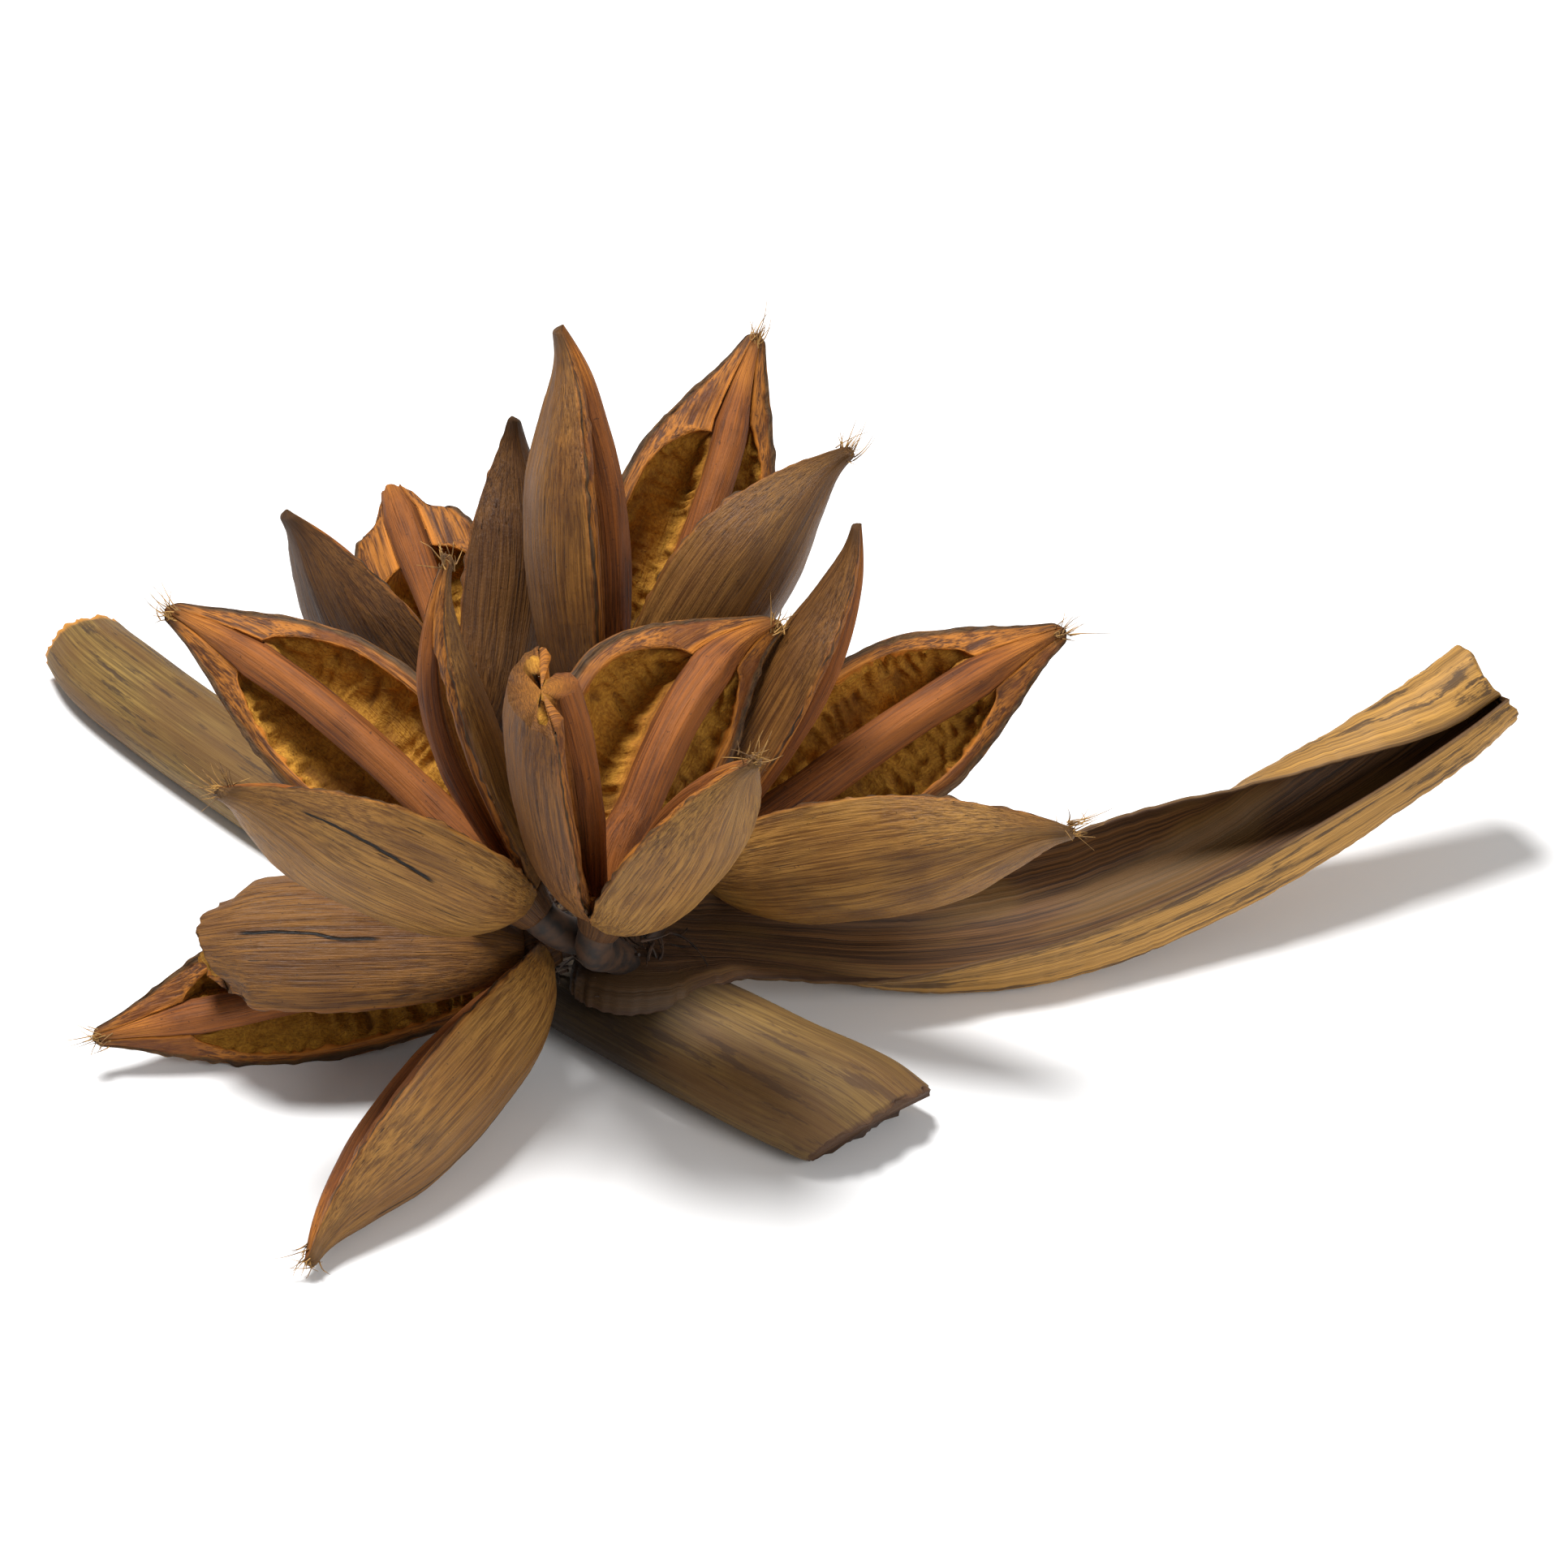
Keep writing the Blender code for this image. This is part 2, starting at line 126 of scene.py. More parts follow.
VALVE_OUTLINE = (
    (0.0, 0.36), (0.08, 0.63), (0.20, 0.87), (0.35, 0.98), (0.50, 1.0),
    (0.65, 0.89), (0.80, 0.58), (0.92, 0.27), (1.0, 0.11),
)
FOOT_RADIUS = 7.5
NECK_RADIUS = 5.0
FOOT_DEPTH = 8.0
ROOT_HEIGHT = 14.0
PEDICEL_RADIUS = 4.3

# A stalk station is its middle on the table, half its width and its height.
STALK = (
    (-184, 130, 11.5, 16.0), (-170, 107, 13.0, 20.0), (-125, 57, 13.5, 20.0), (-52, -13, 16.5, 20.0),
    (-8, -50, 18.5, 20.0), (14, -66, 19.0, 19.0), (26, -74, 17.5, 14.0),
)
FLATTENED = 1.25
WIDEST = 0.42
CUT_FROM = 0.66
CUT_ACROSS = 5.0
CUT_UNDER = 10.0

# A bract station is its keel point, the far wall's length and turn, the near wall's length and
# turn, and how far the near margin turns back out.
BRACT = (
    (-48, -20, 22, 20, 60, 18, -10, 40), (-34, -22, 22, 22, 60, 26, 5, 55),
    (-10, -15, 14, 26, 50, 14, 40, 60), (30, -5, 2.6, 31, 80, 26, 75, 25),
    (66, 4, 1.6, 34, 90, 31, 92, 10), (102, 17, 9, 33, 105, 28, 95, 5),
    (135, 32, 20, 38, 175, 25, 95, 0), (161, 45, 31, 43, 225, 21, 95, 0),
    (177.1, 54, 39.5, 44, 240, 18, 95, 0),
)
BRACT_THICKNESS = 2.0
print(len(PODS), "pods with", sum(len(pod.valves) for pod in PODS.values()), "valves")


# %% [markdown]
# ## Curves and noise for whole arrays
# A fine mesh has tens of thousands of points, so the helpers take arrays and treat every point
# at once. Value noise is a table of random numbers, read smoothly between its entries. One seed
# gives the same wood grain on every run.

# %% Curve and noise helpers
def smoothstep(low, high, value):
    t = np.clip((value - low) / (high - low), 0.0, 1.0)
    return t * t * (3 - 2 * t)


def along(stations, shares):
    """A smooth curve through (position, value) pairs, read at every share."""
    xs = np.array([s[0] for s in stations], float)
    ys = np.array([s[1] for s in stations], float)
    last = len(xs) - 2
    i = np.clip(np.searchsorted(xs, shares, side="left") - 1, 0, last)
    before, after = np.maximum(i - 1, 0), np.minimum(i + 2, last + 1)
    step = xs[i + 1] - xs[i]
    t = (shares - xs[i]) / step
    slope_a = (ys[i + 1] - ys[before]) / (xs[i + 1] - xs[before])
    slope_b = (ys[after] - ys[i]) / (xs[after] - xs[i])
    return (
        ys[i] * (2 * t**3 - 3 * t**2 + 1) + slope_a * step * (t**3 - 2 * t**2 + t)
        + ys[i + 1] * (3 * t**2 - 2 * t**3) + slope_b * step * (t**3 - t**2)
    )


TABLE_SIZE = 8192
STRIDES = (1, 157, 2897)  # how far apart neighbours lie in the table, per direction
noise_table = np.random.default_rng(SEED).random(TABLE_SIZE)


def noise(x, y, z=0.0, seed=0):
    """Smooth noise between 0 and 1, with hills about one unit wide."""
    x, y, z = np.broadcast_arrays(x + 31.7 * seed, y + 17.3 * seed, z + 5.1 * seed)
    cell = [np.floor(c).astype(np.int64) for c in (x, y, z)]
    part = [smoothstep(0.0, 1.0, c - f) for c, f in zip((x, y, z), cell)]
    total = 0.0
    for corner in range(8):
        bits = [(corner >> k) & 1 for k in range(3)]
        index = sum((f + b) * s for f, b, s in zip(cell, bits, STRIDES)) % TABLE_SIZE
        weight = 1.0
        for b, p in zip(bits, part):
            weight = weight * (p if b else 1 - p)
        total = total + noise_table[index] * weight
    return total


def ridged(values):
    """Turns soft noise into narrow crests."""
    return 1 - np.abs(2 * values - 1)


def polar(heading, rise):
    h, r = radians(heading), radians(rise)
    return Vector((cos(h) * cos(r), sin(h) * cos(r), sin(r)))


def pod_axis(pod):
    return sum((polar(v.heading, v.rise) for v in pod.valves), Vector()).normalized()


print("noise between", round(float(noise_table.min()), 4), "and", round(float(noise_table.max()), 4))


# %% [markdown]
# ## From a grid of points to a mesh
# A valve, the stalk and the bract are all skins over a grid: rows that follow the piece and
# columns that go round it. One helper closes such a grid, moves it from the layout to the
# frame, and keeps what each point knows about itself, such as how far along the grain it lies,
# as attributes that the materials read later.

# %% Grid skins
def grid_normals(points):
    """The outward direction at each point of a grid whose columns close round."""
    down = np.gradient(points, axis=0)
    round_ = np.roll(points, -1, axis=1) - np.roll(points, 1, axis=1)
    normal = np.cross(down, round_)
    normal /= np.maximum(np.linalg.norm(normal, axis=2, keepdims=True), 1e-9)
    return normal


def grid_mesh(name, points, values):
    """A closed skin over a grid of points, in millimetres, with a fan over each end."""
    rows, columns = points.shape[:2]
    ends = [points[0].mean(axis=0), points[-1].mean(axis=0)]
    verts = np.concatenate([points.reshape(-1, 3), ends])
    i, j = np.meshgrid(np.arange(rows - 1), np.arange(columns), indexing="ij")
    k = (j + 1) % columns
    quads = np.stack([i * columns + j, i * columns + k, (i + 1) * columns + k, (i + 1) * columns + j], -1)
    first, last = rows * columns, rows * columns + 1
    start = (rows - 1) * columns
    ring = np.arange(columns)
    after = (ring + 1) % columns
    near = np.stack([np.full(columns, first), after, ring], -1)
    far = np.stack([np.full(columns, last), start + ring, start + after], -1)
    mesh = bpy.data.meshes.new(name)
    faces = quads.reshape(-1, 4).tolist() + near.tolist() + far.tolist()
    mesh.from_pydata(((verts - MIDDLE) * MM).tolist(), [], faces)
    for label, value in values.items():
        layer = mesh.attributes.new(label, "FLOAT_VECTOR", "POINT")
        flat = value.reshape(-1, 3)
        capped = np.concatenate([flat, value[0].mean(axis=0)[None], value[-1].mean(axis=0)[None]])
        layer.data.foreach_set("vector", capped.astype(np.float32).ravel())
    bm = bmesh.new()
    bm.from_mesh(mesh)
    bmesh.ops.recalc_face_normals(bm, faces=bm.faces)
    bm.to_mesh(mesh)
    bm.free()
    mesh.shade_smooth()
    return mesh


def piece_from(name, mesh):
    piece = bpy.data.objects.new(name, mesh)
    bpy.context.scene.collection.objects.link(piece)
    return piece


def plain_mesh(piece):
    """Turns what a piece's modifiers make into its own mesh and removes the modifiers."""
    bpy.context.view_layer.update()
    evaluated = piece.evaluated_get(bpy.context.evaluated_depsgraph_get())
    mesh = bpy.data.meshes.new_from_object(evaluated)
    piece.modifiers.clear()
    old, piece.data = piece.data, mesh
    bpy.data.meshes.remove(old)
    mesh.name = piece.name
    return piece


def grow_together(piece, others):
    """Gathers closed skins that run into each other in one mesh."""
    group = [piece, *others]
    with bpy.context.temp_override(
        active_object=piece, object=piece, selected_objects=group, selected_editable_objects=group
    ):
        bpy.ops.object.join()
    return piece


# %% [markdown]
# ## One valve
# A valve is a third of the capsule's wall. Seen end on, its skin runs along the outer wall,
# over the split rim, down into a seed chamber, up the partition, and back the same way on the
# other side. The section is a smooth curve through a few named points, drawn at 190 places from
# foot to beak. Towards the beak the chamber closes in an arch, which is half an ellipse both
# across its mouth and in its depth.

# %% Valve sections
ROWS = 190
SEGMENTS = (4, 4, 3, 3, 3, 3, 3, 4, 5, 4, 5, 3, 3, 3)  # columns between the named points
# How far each named point lies from the keel along the skin of a valve of the usual radius.
SKIN_PLACES = (0, 8, 16, 22, 23.5, 25, 27, 30, 34, 40, 46, 50, 54, 57, 60)
BEAK_SHARE = 0.012  # the last share of the length, in which a whole beak is rounded off
TORN_SHARE = 0.16
TORN_DEPTH = 2.4
CRACK_WANDER = 1.6
# A crack runs from one place along the valve to another, and lies so far from the keel at each.
Crack = namedtuple("Crack", "start stop at_start at_stop")
NO_CRACK = Crack(-2.0, -1.0, 0.0, 0.0)
# A look's purple, sheen and dark colour the bark: the purple patches belong to the wood, the sheen is a
# painted highlight on the belly, and dark is partly painted shade.
Look = namedtuple(
    "Look", "lean arch_a arch_b purple sheen dark wrinkle torn dome crack",
    defaults=(0, 0, 0, 0.3, 0.3, 0.2, 1.0, 1.0, 2.0, NO_CRACK),
)
LOOKS = {
    "pod_top": (
        Look(0.10, 0, 0, 0.7, 0.3, 0.1), Look(0.10, 0.0, -0.05, 0.2, 0.1, 0.0), Look(0, 0, 0, 0.2, 0.5, 0.4),
    ),
    "pod_left": (
        Look(0.0, 0, 0, 0.35, 0.2, 0.2), Look(0, 0, 0, 0.3, 0.9, 0.0, crack=Crack(38, 74, -11, -14)),
        Look(0, 0, 0, 0.3, 0.5, 0.2),
    ),
    "pod_centre": (
        Look(0.12, 0.02, -0.03, 0.2, 0.2, 0.0), Look(0, 0, 0, 0.3, 0.1, 0.2, dome=1.0),
        Look(0, 0, 0, 0.2, 1.0, 0.0),
    ),
    "pod_right": (
        Look(0, 0, 0, 0.5, 0.2, 0.5), Look(0.03, 0, 0, 0.2, 0.2, 0.0, 1.4), Look(0, 0, 0, 0.6, 0.9, 0.0),
    ),
    "pod_back": (
        Look(0, 0, 0, 0.8, 0.1, 0.7), Look(0, 0, -0.03, 0.2, 0.1, 0.0, dome=9.0),
        Look(0, 0, 0, 0.4, 0.1, 0.8),
    ),
    "pod_low": (
        Look(0, 0, 0, 0.3, 0.3, 0.1), Look(0, 0, 0, 0.4, 0.3, 0.3, dome=9.0, crack=Crack(34, 66, 5, 3)),
        Look(0, 0, 0, 0.2, 0.8, 0.0, crack=Crack(28, 78, 9, 5)),
    ),
}


def smooth_section(named):
    """A smooth line through named points: (rows, points, 2) becomes (rows, columns, 2)."""
    count = len(named)
    made, places = [], []
    for k, columns in enumerate(SEGMENTS):
        p0, p1 = named[max(k - 1, 0)], named[k]
        p2, p3 = named[k + 1], named[min(k + 2, count - 1)]
        for c in range(columns):
            t = c / columns
            made.append(
                0.5 * (2 * p1 + (p2 - p0) * t + (2 * p0 - 5 * p1 + 4 * p2 - p3) * t**2
                       + (3 * p1 - p0 - 3 * p2 + p3) * t**3)
            )
            places.append(k + t)
    made.append(named[-1])
    places.append(float(count - 1))
    return np.stack(made, axis=1), np.array(places)


def half_section(shares, valve, look, side):
    """Half a valve's section, from the keel of its outer wall to the ridge of its partition."""
    size = valve.radius / POD_RADIUS
    outer = valve.radius * along(VALVE_OUTLINE, shares)
    wall = np.minimum(WALL * size, WALL_SHARE * outer)
    floor = outer - np.minimum(FLOOR_WALL * size, WALL_SHARE * outer)
    top = np.minimum(SEPTUM_TOP * size, SEPTUM_TOP_SHARE * outer)
    root = np.minimum(SEPTUM_ROOT * size, SEPTUM_ROOT_SHARE * outer)
    arch = look.arch_a if side > 0 else look.arch_b
    closed = valve.shut + arch
    closing = closed - CHAMBER_ARCH
    opened = smoothstep(*CHAMBER_OPENS, shares)
    t = np.clip((shares - closing) / (closed - closing), 0, 1)
    mouth = opened * np.sqrt(1 - t**2)
    depth = opened * np.sqrt(1 - t**3)
    lean = side * look.lean * outer * smoothstep(0.1, 0.3, shares) * (1 - smoothstep(0.7, 0.95, shares))

    def on_arc(r, angle):
        return np.stack([r * np.sin(angle), r * np.cos(angle)], -1)

    def point(x, y):
        return np.stack([x + 0 * outer, y + 0 * outer], -1)

    rim = on_arc(outer - wall, WALL_ANGLE)
    edge = point(top + lean, SEPTUM_DROP * outer + 0.95 * top)
    inner_rim = rim + (edge - rim) * (0.9 * (1 - mouth))[:, None]
    deep = [
        on_arc(outer - 0.75 * wall, 0.90 * WALL_ANGLE),
        on_arc(floor, 0.72 * WALL_ANGLE),
        on_arc(floor, 0.44 * WALL_ANGLE),
        point(root + 0.5 * lean, floor * 0.97),
        point(0.85 * root + 0.15 * top + 0.8 * lean, floor * 0.5),
    ]
    chamber = []
    for k, place in enumerate(deep):
        face = inner_rim + (edge - inner_rim) * ((k + 1) / (len(deep) + 1))
        chamber.append(face + (place - face) * depth[:, None])
    named = [
        on_arc(outer, 0.0), on_arc(outer, 0.34 * WALL_ANGLE), on_arc(outer, 0.68 * WALL_ANGLE),
        on_arc(outer, 0.96 * WALL_ANGLE), on_arc(outer - 0.12 * wall, 1.005 * WALL_ANGLE),
        on_arc(outer - 0.55 * wall, 1.01 * WALL_ANGLE), inner_rim,
        *chamber, edge, point(0.66 * top + lean, SEPTUM_DROP * outer + 0.27 * top),
        point(lean, SEPTUM_DROP * outer),
    ]
    return named, depth


def bell(centre, width, value):
    return np.exp(-(((value - centre) / width) ** 2))


def valve_grid(foot, valve, axis, look, seed):
    """Every point of a fine valve in the layout, with what each point knows about itself."""
    chord = polar(valve.heading, valve.rise)
    outward = -(axis - chord * axis.dot(chord)).normalized()
    outward.rotate(Quaternion(chord, radians(valve.turn)))
    across = outward.cross(chord)
    shares = np.linspace(0, 1, ROWS) * valve.end
    halves = []
    for side in (1, -1):
        named, depth = half_section(shares, valve, look, side)
        flat, places = smooth_section(named)
        flat[..., 0] *= side
        halves.append((flat, depth))
    right, left = halves
    section = np.concatenate([right[0], left[0][:, -2:0:-1]], axis=1)
    place = np.concatenate([places, places[-2:0:-1]])[None, :] + 0 * shares[:, None]
    on_right = np.arange(place.shape[1])[None, :] < len(places)
    depth = np.where(on_right, right[1][:, None], left[1][:, None])

    bend = BEND * (shares**3 - shares)
    outline = along(VALVE_OUTLINE, shares)
    spine = np.outer(shares * valve.length, chord)
    spine = spine + np.outer(valve.flare * bend, outward) + np.outer(valve.sway * bend, across)
    spine = spine + np.array(foot)
    if valve.end == 1.0:
        squeeze = np.sqrt(np.clip((1 - shares) / BEAK_SHARE, 0.02, 1.0))
        section = section * squeeze[:, None, None]
    points = (
        spine[:, None, :] + section[..., 0:1] * np.array(across) + section[..., 1:2] * np.array(outward)
    )

    u = (shares * valve.length)[:, None] + 0 * place
    widest = valve.radius / POD_RADIUS
    v = np.interp(place, range(len(SKIN_PLACES)), SKIN_PLACES) * widest
    w = section[..., 0] / np.maximum(valve.radius, 1) * 12

    outer_zone = 1 - smoothstep(3.0, 3.8, place)
    rim_zone = smoothstep(3.0, 3.8, place) * (1 - smoothstep(6.1, 6.9, place))
    septum_zone = smoothstep(10.2, 11.6, place)
    lining = smoothstep(6.1, 6.9, place) * (1 - smoothstep(10.4, 11.6, place)) * smoothstep(0.1, 0.6, depth)
    face_zone = np.clip(smoothstep(6.1, 6.9, place) - lining - septum_zone, 0, 1)

    normal = grid_normals(points)
    centre = spine[:, None, :] + np.array(outward) * 0.5 * valve.radius * outline[:, None, None]
    keel_out = np.sum((points[:, 0] - centre[:, 0]) * normal[:, 0], axis=1).mean()
    if keel_out < 0:
        normal = -normal
    thin = np.minimum(1.0, outline * 2.2)[:, None]

    dents = noise(u / 17, v / 11, w / 5, seed) - 0.5
    ribs = noise(u / 26, v / 1.5, w, seed + 11) - 0.5
    fibres = noise(u / 9, v / 0.8, w, seed + 23) - 0.5
    cords = noise(u / 30, v / 2.6, w / 4, seed + 29) - 0.5
    warped = u + 5.0 * noise(u / 9, v / 7, w / 3, seed + 31)
    folds = ridged(noise(warped / 3.0, v / 6.5, w / 8, seed + 37)) ** 1.4
    pebbles = noise(warped / 1.7, v / 2.8, w / 3, seed + 39) - 0.5
    grit = noise(u / 1.3, v / 1.6, w, seed + 41) - 0.5
    frayed = noise(u / 2.6, v / 3.0, w, seed + 53) - 0.5
    shift = (
        outer_zone * (1.0 * dents + 0.35 * ribs + 0.10 * grit)
        + rim_zone * (0.8 * fibres + 1.5 * frayed * bell(4.0, 0.9, place) * look.torn)
        - 0.8 * bell(4.75, 0.25, place) + 0.4 * bell(6.0, 0.35, place)
        + lining * (look.wrinkle * (2.4 * (folds - 0.45) + 1.1 * pebbles) + 0.6 * dents)
        + septum_zone * (1.1 * cords + 0.4 * fibres + 0.6 * dents)
        + face_zone * (1.0 * cords + 0.9 * fibres + 0.5 * dents)
    )
    points = points + normal * (shift * thin)[..., None]
    if valve.end < 1.0:
        torn = smoothstep(valve.end - TORN_SHARE, valve.end, shares)[:, None]
        beside = section[..., 0] / (valve.radius * outline * sin(WALL_ANGLE))[:, None]
        bite = noise(v / 3.5, w / 2, 0.0, seed + 61) + 0.6 * noise(v / 1.2, w, 0.0, seed + 67)
        cut = look.dome * beside**2 + TORN_DEPTH * bite * look.torn
        points = points - np.array(chord) * (torn * cut)[..., None]
    points[..., 2] = np.maximum(points[..., 2], 0.0)  # the table presses the lowest valves flat

    tip = smoothstep(0.78, 1.0, u / valve.length)
    crack = look.crack
    place_on = np.clip((u - crack.start) / (crack.stop - crack.start), 0, 1)
    wander = CRACK_WANDER * (noise(u / 7, 0.0, 0.0, seed) - 0.5)
    line = crack.at_start + (crack.at_stop - crack.at_start) * place_on + wander
    beyond = np.maximum(crack.start - u, u - crack.stop)
    values = {
        "grain": np.stack([u + 40 * seed, v, w], -1),
        "zones": np.stack([outer_zone, rim_zone, lining], -1),
        # The third mark is how deep a point lies in its chamber, where the lining is painted darker as shade.
        "marks": np.stack([septum_zone, tip + 0 * place, depth * lining * smoothstep(6.5, 9, place)], -1),
        # Purple is the wood's own; the sheen is a painted highlight, and dark is painted shade in part.
        "tone_and_painted_light": np.stack([look.purple + 0 * u, look.sheen + 0 * u, look.dark + 0 * u], -1),
        # Peel and edge bands, and the fold height, which also places painted shade in the lining.
        "lanes": np.stack([bell(4.0, 0.75, place), bell(6.25, 0.5, place), folds], -1),
        # The last entry marks the partition's ridge, which gets a painted highlight.
        "crack": np.stack([np.where(on_right, v, -v) - line, beyond, bell(14, 1.3, place)], -1),
    }
    return points, values


def foot_grid(foot, axis):
    """The solid turned end of a pod under its valves."""
    profile = np.array((
        (0.02, 0.55 * FOOT_RADIUS), (0.75 * FOOT_RADIUS, 0.3 * FOOT_RADIUS),
        (FOOT_RADIUS, -0.2 * FOOT_RADIUS), (0.5 * (FOOT_RADIUS + NECK_RADIUS), -0.55 * FOOT_DEPTH),
        (NECK_RADIUS, -FOOT_DEPTH), (0.02, -FOOT_DEPTH),
    ))
    steps = np.linspace(0, len(profile) - 1, 26)
    radius = np.interp(steps, range(len(profile)), profile[:, 0])
    height = np.interp(steps, range(len(profile)), profile[:, 1])
    turn = np.linspace(0, 2 * pi, 48, endpoint=False)
    x_way = axis.orthogonal().normalized()
    y_way = axis.cross(x_way)
    wobble = 1 + 0.06 * (noise(turn * 4, 0.0) - 0.5)
    points = (
        np.array(foot) + height[:, None, None] * np.array(axis)
        + (radius[:, None] * np.cos(turn) * wobble)[..., None] * np.array(x_way)
        + (radius[:, None] * np.sin(turn) * wobble)[..., None] * np.array(y_way)
    )
    flat = 0 * points[..., 0]
    values = {
        "grain": np.stack([flat + height[:, None], flat + turn * 7, flat], -1),
        "zones": np.stack([flat + 1, flat, flat], -1),
        "marks": np.stack([flat, flat, flat], -1),
        # The foot is set dark: painted shade in the middle of the cluster.
        "tone_and_painted_light": np.stack([flat + 0.6, flat, flat + 0.9], -1),
        "lanes": np.stack([flat, flat, flat], -1),
        "crack": np.stack([flat + 9, flat + 9, flat], -1),
    }
    return points, values


# %% The six pods
seed = 0
pods = {}
for name, pod in PODS.items():
    axis = pod_axis(pod)
    foot = Vector(pod.foot)
    parts = []
    for valve, look in zip(pod.valves, LOOKS[name]):
        seed += 1
        points, values = valve_grid(foot, valve, axis, look, seed)
        parts.append(piece_from(name + "_valve", grid_mesh(name + "_valve", points, values)))
    parts.append(piece_from(name + "_foot", grid_mesh(name + "_foot", *foot_grid(foot, axis))))
    whole = grow_together(parts[0], parts[1:])
    whole.name = whole.data.name = name + "_grown"
    pods[name] = whole
    print(name, len(whole.data.polygons), "faces")


# %% [markdown]
# ## The cut stalk
# A flower stalk is a bundle of long fibres in a thin skin, flattened below where it lies on the
# table. Its section is an ellipse with the underside pressed flat, drawn along a smooth line.
# Fine ribs follow the fibres, and both ends are cut and ragged.

# %% The stalk's skin
STALK_ROWS = 300
STALK_COLUMNS = 110


def stalk_grid():
    shares = np.linspace(0, 1, STALK_ROWS)
    stations = [[(i / (len(STALK) - 1), row[c]) for i, row in enumerate(STALK)] for c in range(4)]
    x, y, half, height = [along(column, shares) for column in stations]
    run = np.stack([np.gradient(x), np.gradient(y), 0 * x], -1)
    run /= np.linalg.norm(run, axis=1, keepdims=True)
    side = np.stack([-run[:, 1], run[:, 0], 0 * x], -1)
    turn = np.linspace(0, 2 * pi, STALK_COLUMNS, endpoint=False)[None, :]
    low = (WIDEST * height)[:, None]
    upper = low + (height[:, None] - low) * np.sin(turn)
    lower = low * np.maximum(1 + FLATTENED * np.sin(turn), 0.0)
    z = np.where(np.sin(turn) > 0, upper, lower)
    reach = half[:, None] * np.cos(turn)
    length = np.concatenate([[0], np.cumsum(np.hypot(np.diff(x), np.diff(y)))])
    u = length[:, None] + 0 * z
    v = turn * 15 + 0 * z
    wrap = (np.sin(turn) * 9 + 0 * z)
    ribs = noise(u / 45, v / 1.6, wrap / 9, 71) - 0.5
    dents = noise(u / 22, v / 9, wrap / 9, 73) - 0.5
    sunk = -0.25 - 0.6 * ridged(noise(u / 60, v / 5, wrap / 9, 79)) ** 4
    free = smoothstep(0.0, 2.0, z)
    shrink = 1 + (0.02 * ribs + 0.035 * dents + 0.012 * sunk) * free - 0.02 * free
    points = np.stack([x[:, None] + side[:, 0:1] * reach * shrink, y[:, None] + side[:, 1:2] * reach * shrink,
                       low + (z - low) * np.where(z > low, shrink, 1.0)], -1)
    lead = CUT_ACROSS * np.cos(turn) + CUT_UNDER * (z / height[:, None] - 1)
    points[..., :2] += run[:, None, :2] * (smoothstep(CUT_FROM, 1.0, shares)[:, None] * lead)[..., None]
    bite = 2.2 * noise(v / 2.5, wrap / 4, 0.0, 83) + 1.2 * noise(v / 0.9, wrap, 0.0, 89)
    first = 1 - smoothstep(0.0, 0.035, shares)[:, None]
    final = smoothstep(0.965, 1.0, shares)[:, None]
    points[..., :2] += run[:, None, :2] * (bite * (first - final))[..., None]
    values = {
        "grain": np.stack([u, v, wrap], -1),
        "marks": np.stack([first + 0 * z, final + 0 * z, free], -1),
    }
    return points, values


stalk = piece_from("stalk_grown", grid_mesh("stalk_grown", *stalk_grid()))
print("stalk", len(stalk.data.polygons), "faces")


# %% [markdown]
# ## The bract
# The bract is the leaf that once folded over the flowers. Dry, it is a gutter: dark brown and
# finely lined inside, golden and mottled outside, with torn margins. A section is walked out
# from the keel to each side and turns up a little at every step, and the walk is repeated along
# the keel. The skin then gets its thickness along its own normals.

# %% The bract's skin
BRACT_ROWS = 260
BRACT_HALF = 44
KEEL_LENGTH = 245
HALF_WIDTH = 30  # the usual width of a wall, for the grain's coordinates
ROLLED = (110, 200)  # between these turns a wall goes from bent to rolled
WALK = (0.2, 0.8)
REFLEX_FROM = 0.55


def bract_walls(stations):
    """The middle of the skin: rows along the keel, columns from far margin to near margin."""
    run = np.gradient(stations[:, :3], axis=0)
    run /= np.linalg.norm(run, axis=1, keepdims=True)
    side = np.stack([run[:, 1], -run[:, 0], 0 * run[:, 0]], -1)
    side /= np.linalg.norm(side, axis=1, keepdims=True)
    up = np.cross(side, run)
    up *= np.sign(up[:, 2:3])
    walls = []
    for length, turn, reflex, way in ((3, 4, None, -1), (5, 6, 7, 1)):
        step = stations[:, length:length + 1] / BRACT_HALF
        rolled = smoothstep(*ROLLED, stations[:, turn:turn + 1])
        place, wall = stations[:, :3], []
        for k in range(BRACT_HALF):
            q = (k + 0.5) / BRACT_HALF
            back = stations[:, 7:8] * float(smoothstep(REFLEX_FROM, 1.0, q)) if reflex else 0.0
            bend = smoothstep(WALK[0] * (1 - rolled), WALK[1] + (1 - WALK[1]) * rolled, q)
            angle = np.radians(stations[:, turn:turn + 1] * bend - back)
            place = place + side * way * step * np.cos(angle) + up * step * np.sin(angle)
            wall.append(place)
        walls.append(wall)
    return np.stack(list(reversed(walls[0])) + [stations[:, :3]] + walls[1], axis=1)


def down_way(middle):
    """The direction along the keel, the same for a whole row."""
    run = np.gradient(middle[:, BRACT_HALF], axis=0)
    run /= np.linalg.norm(run, axis=1, keepdims=True)
    return run[:, None, :]


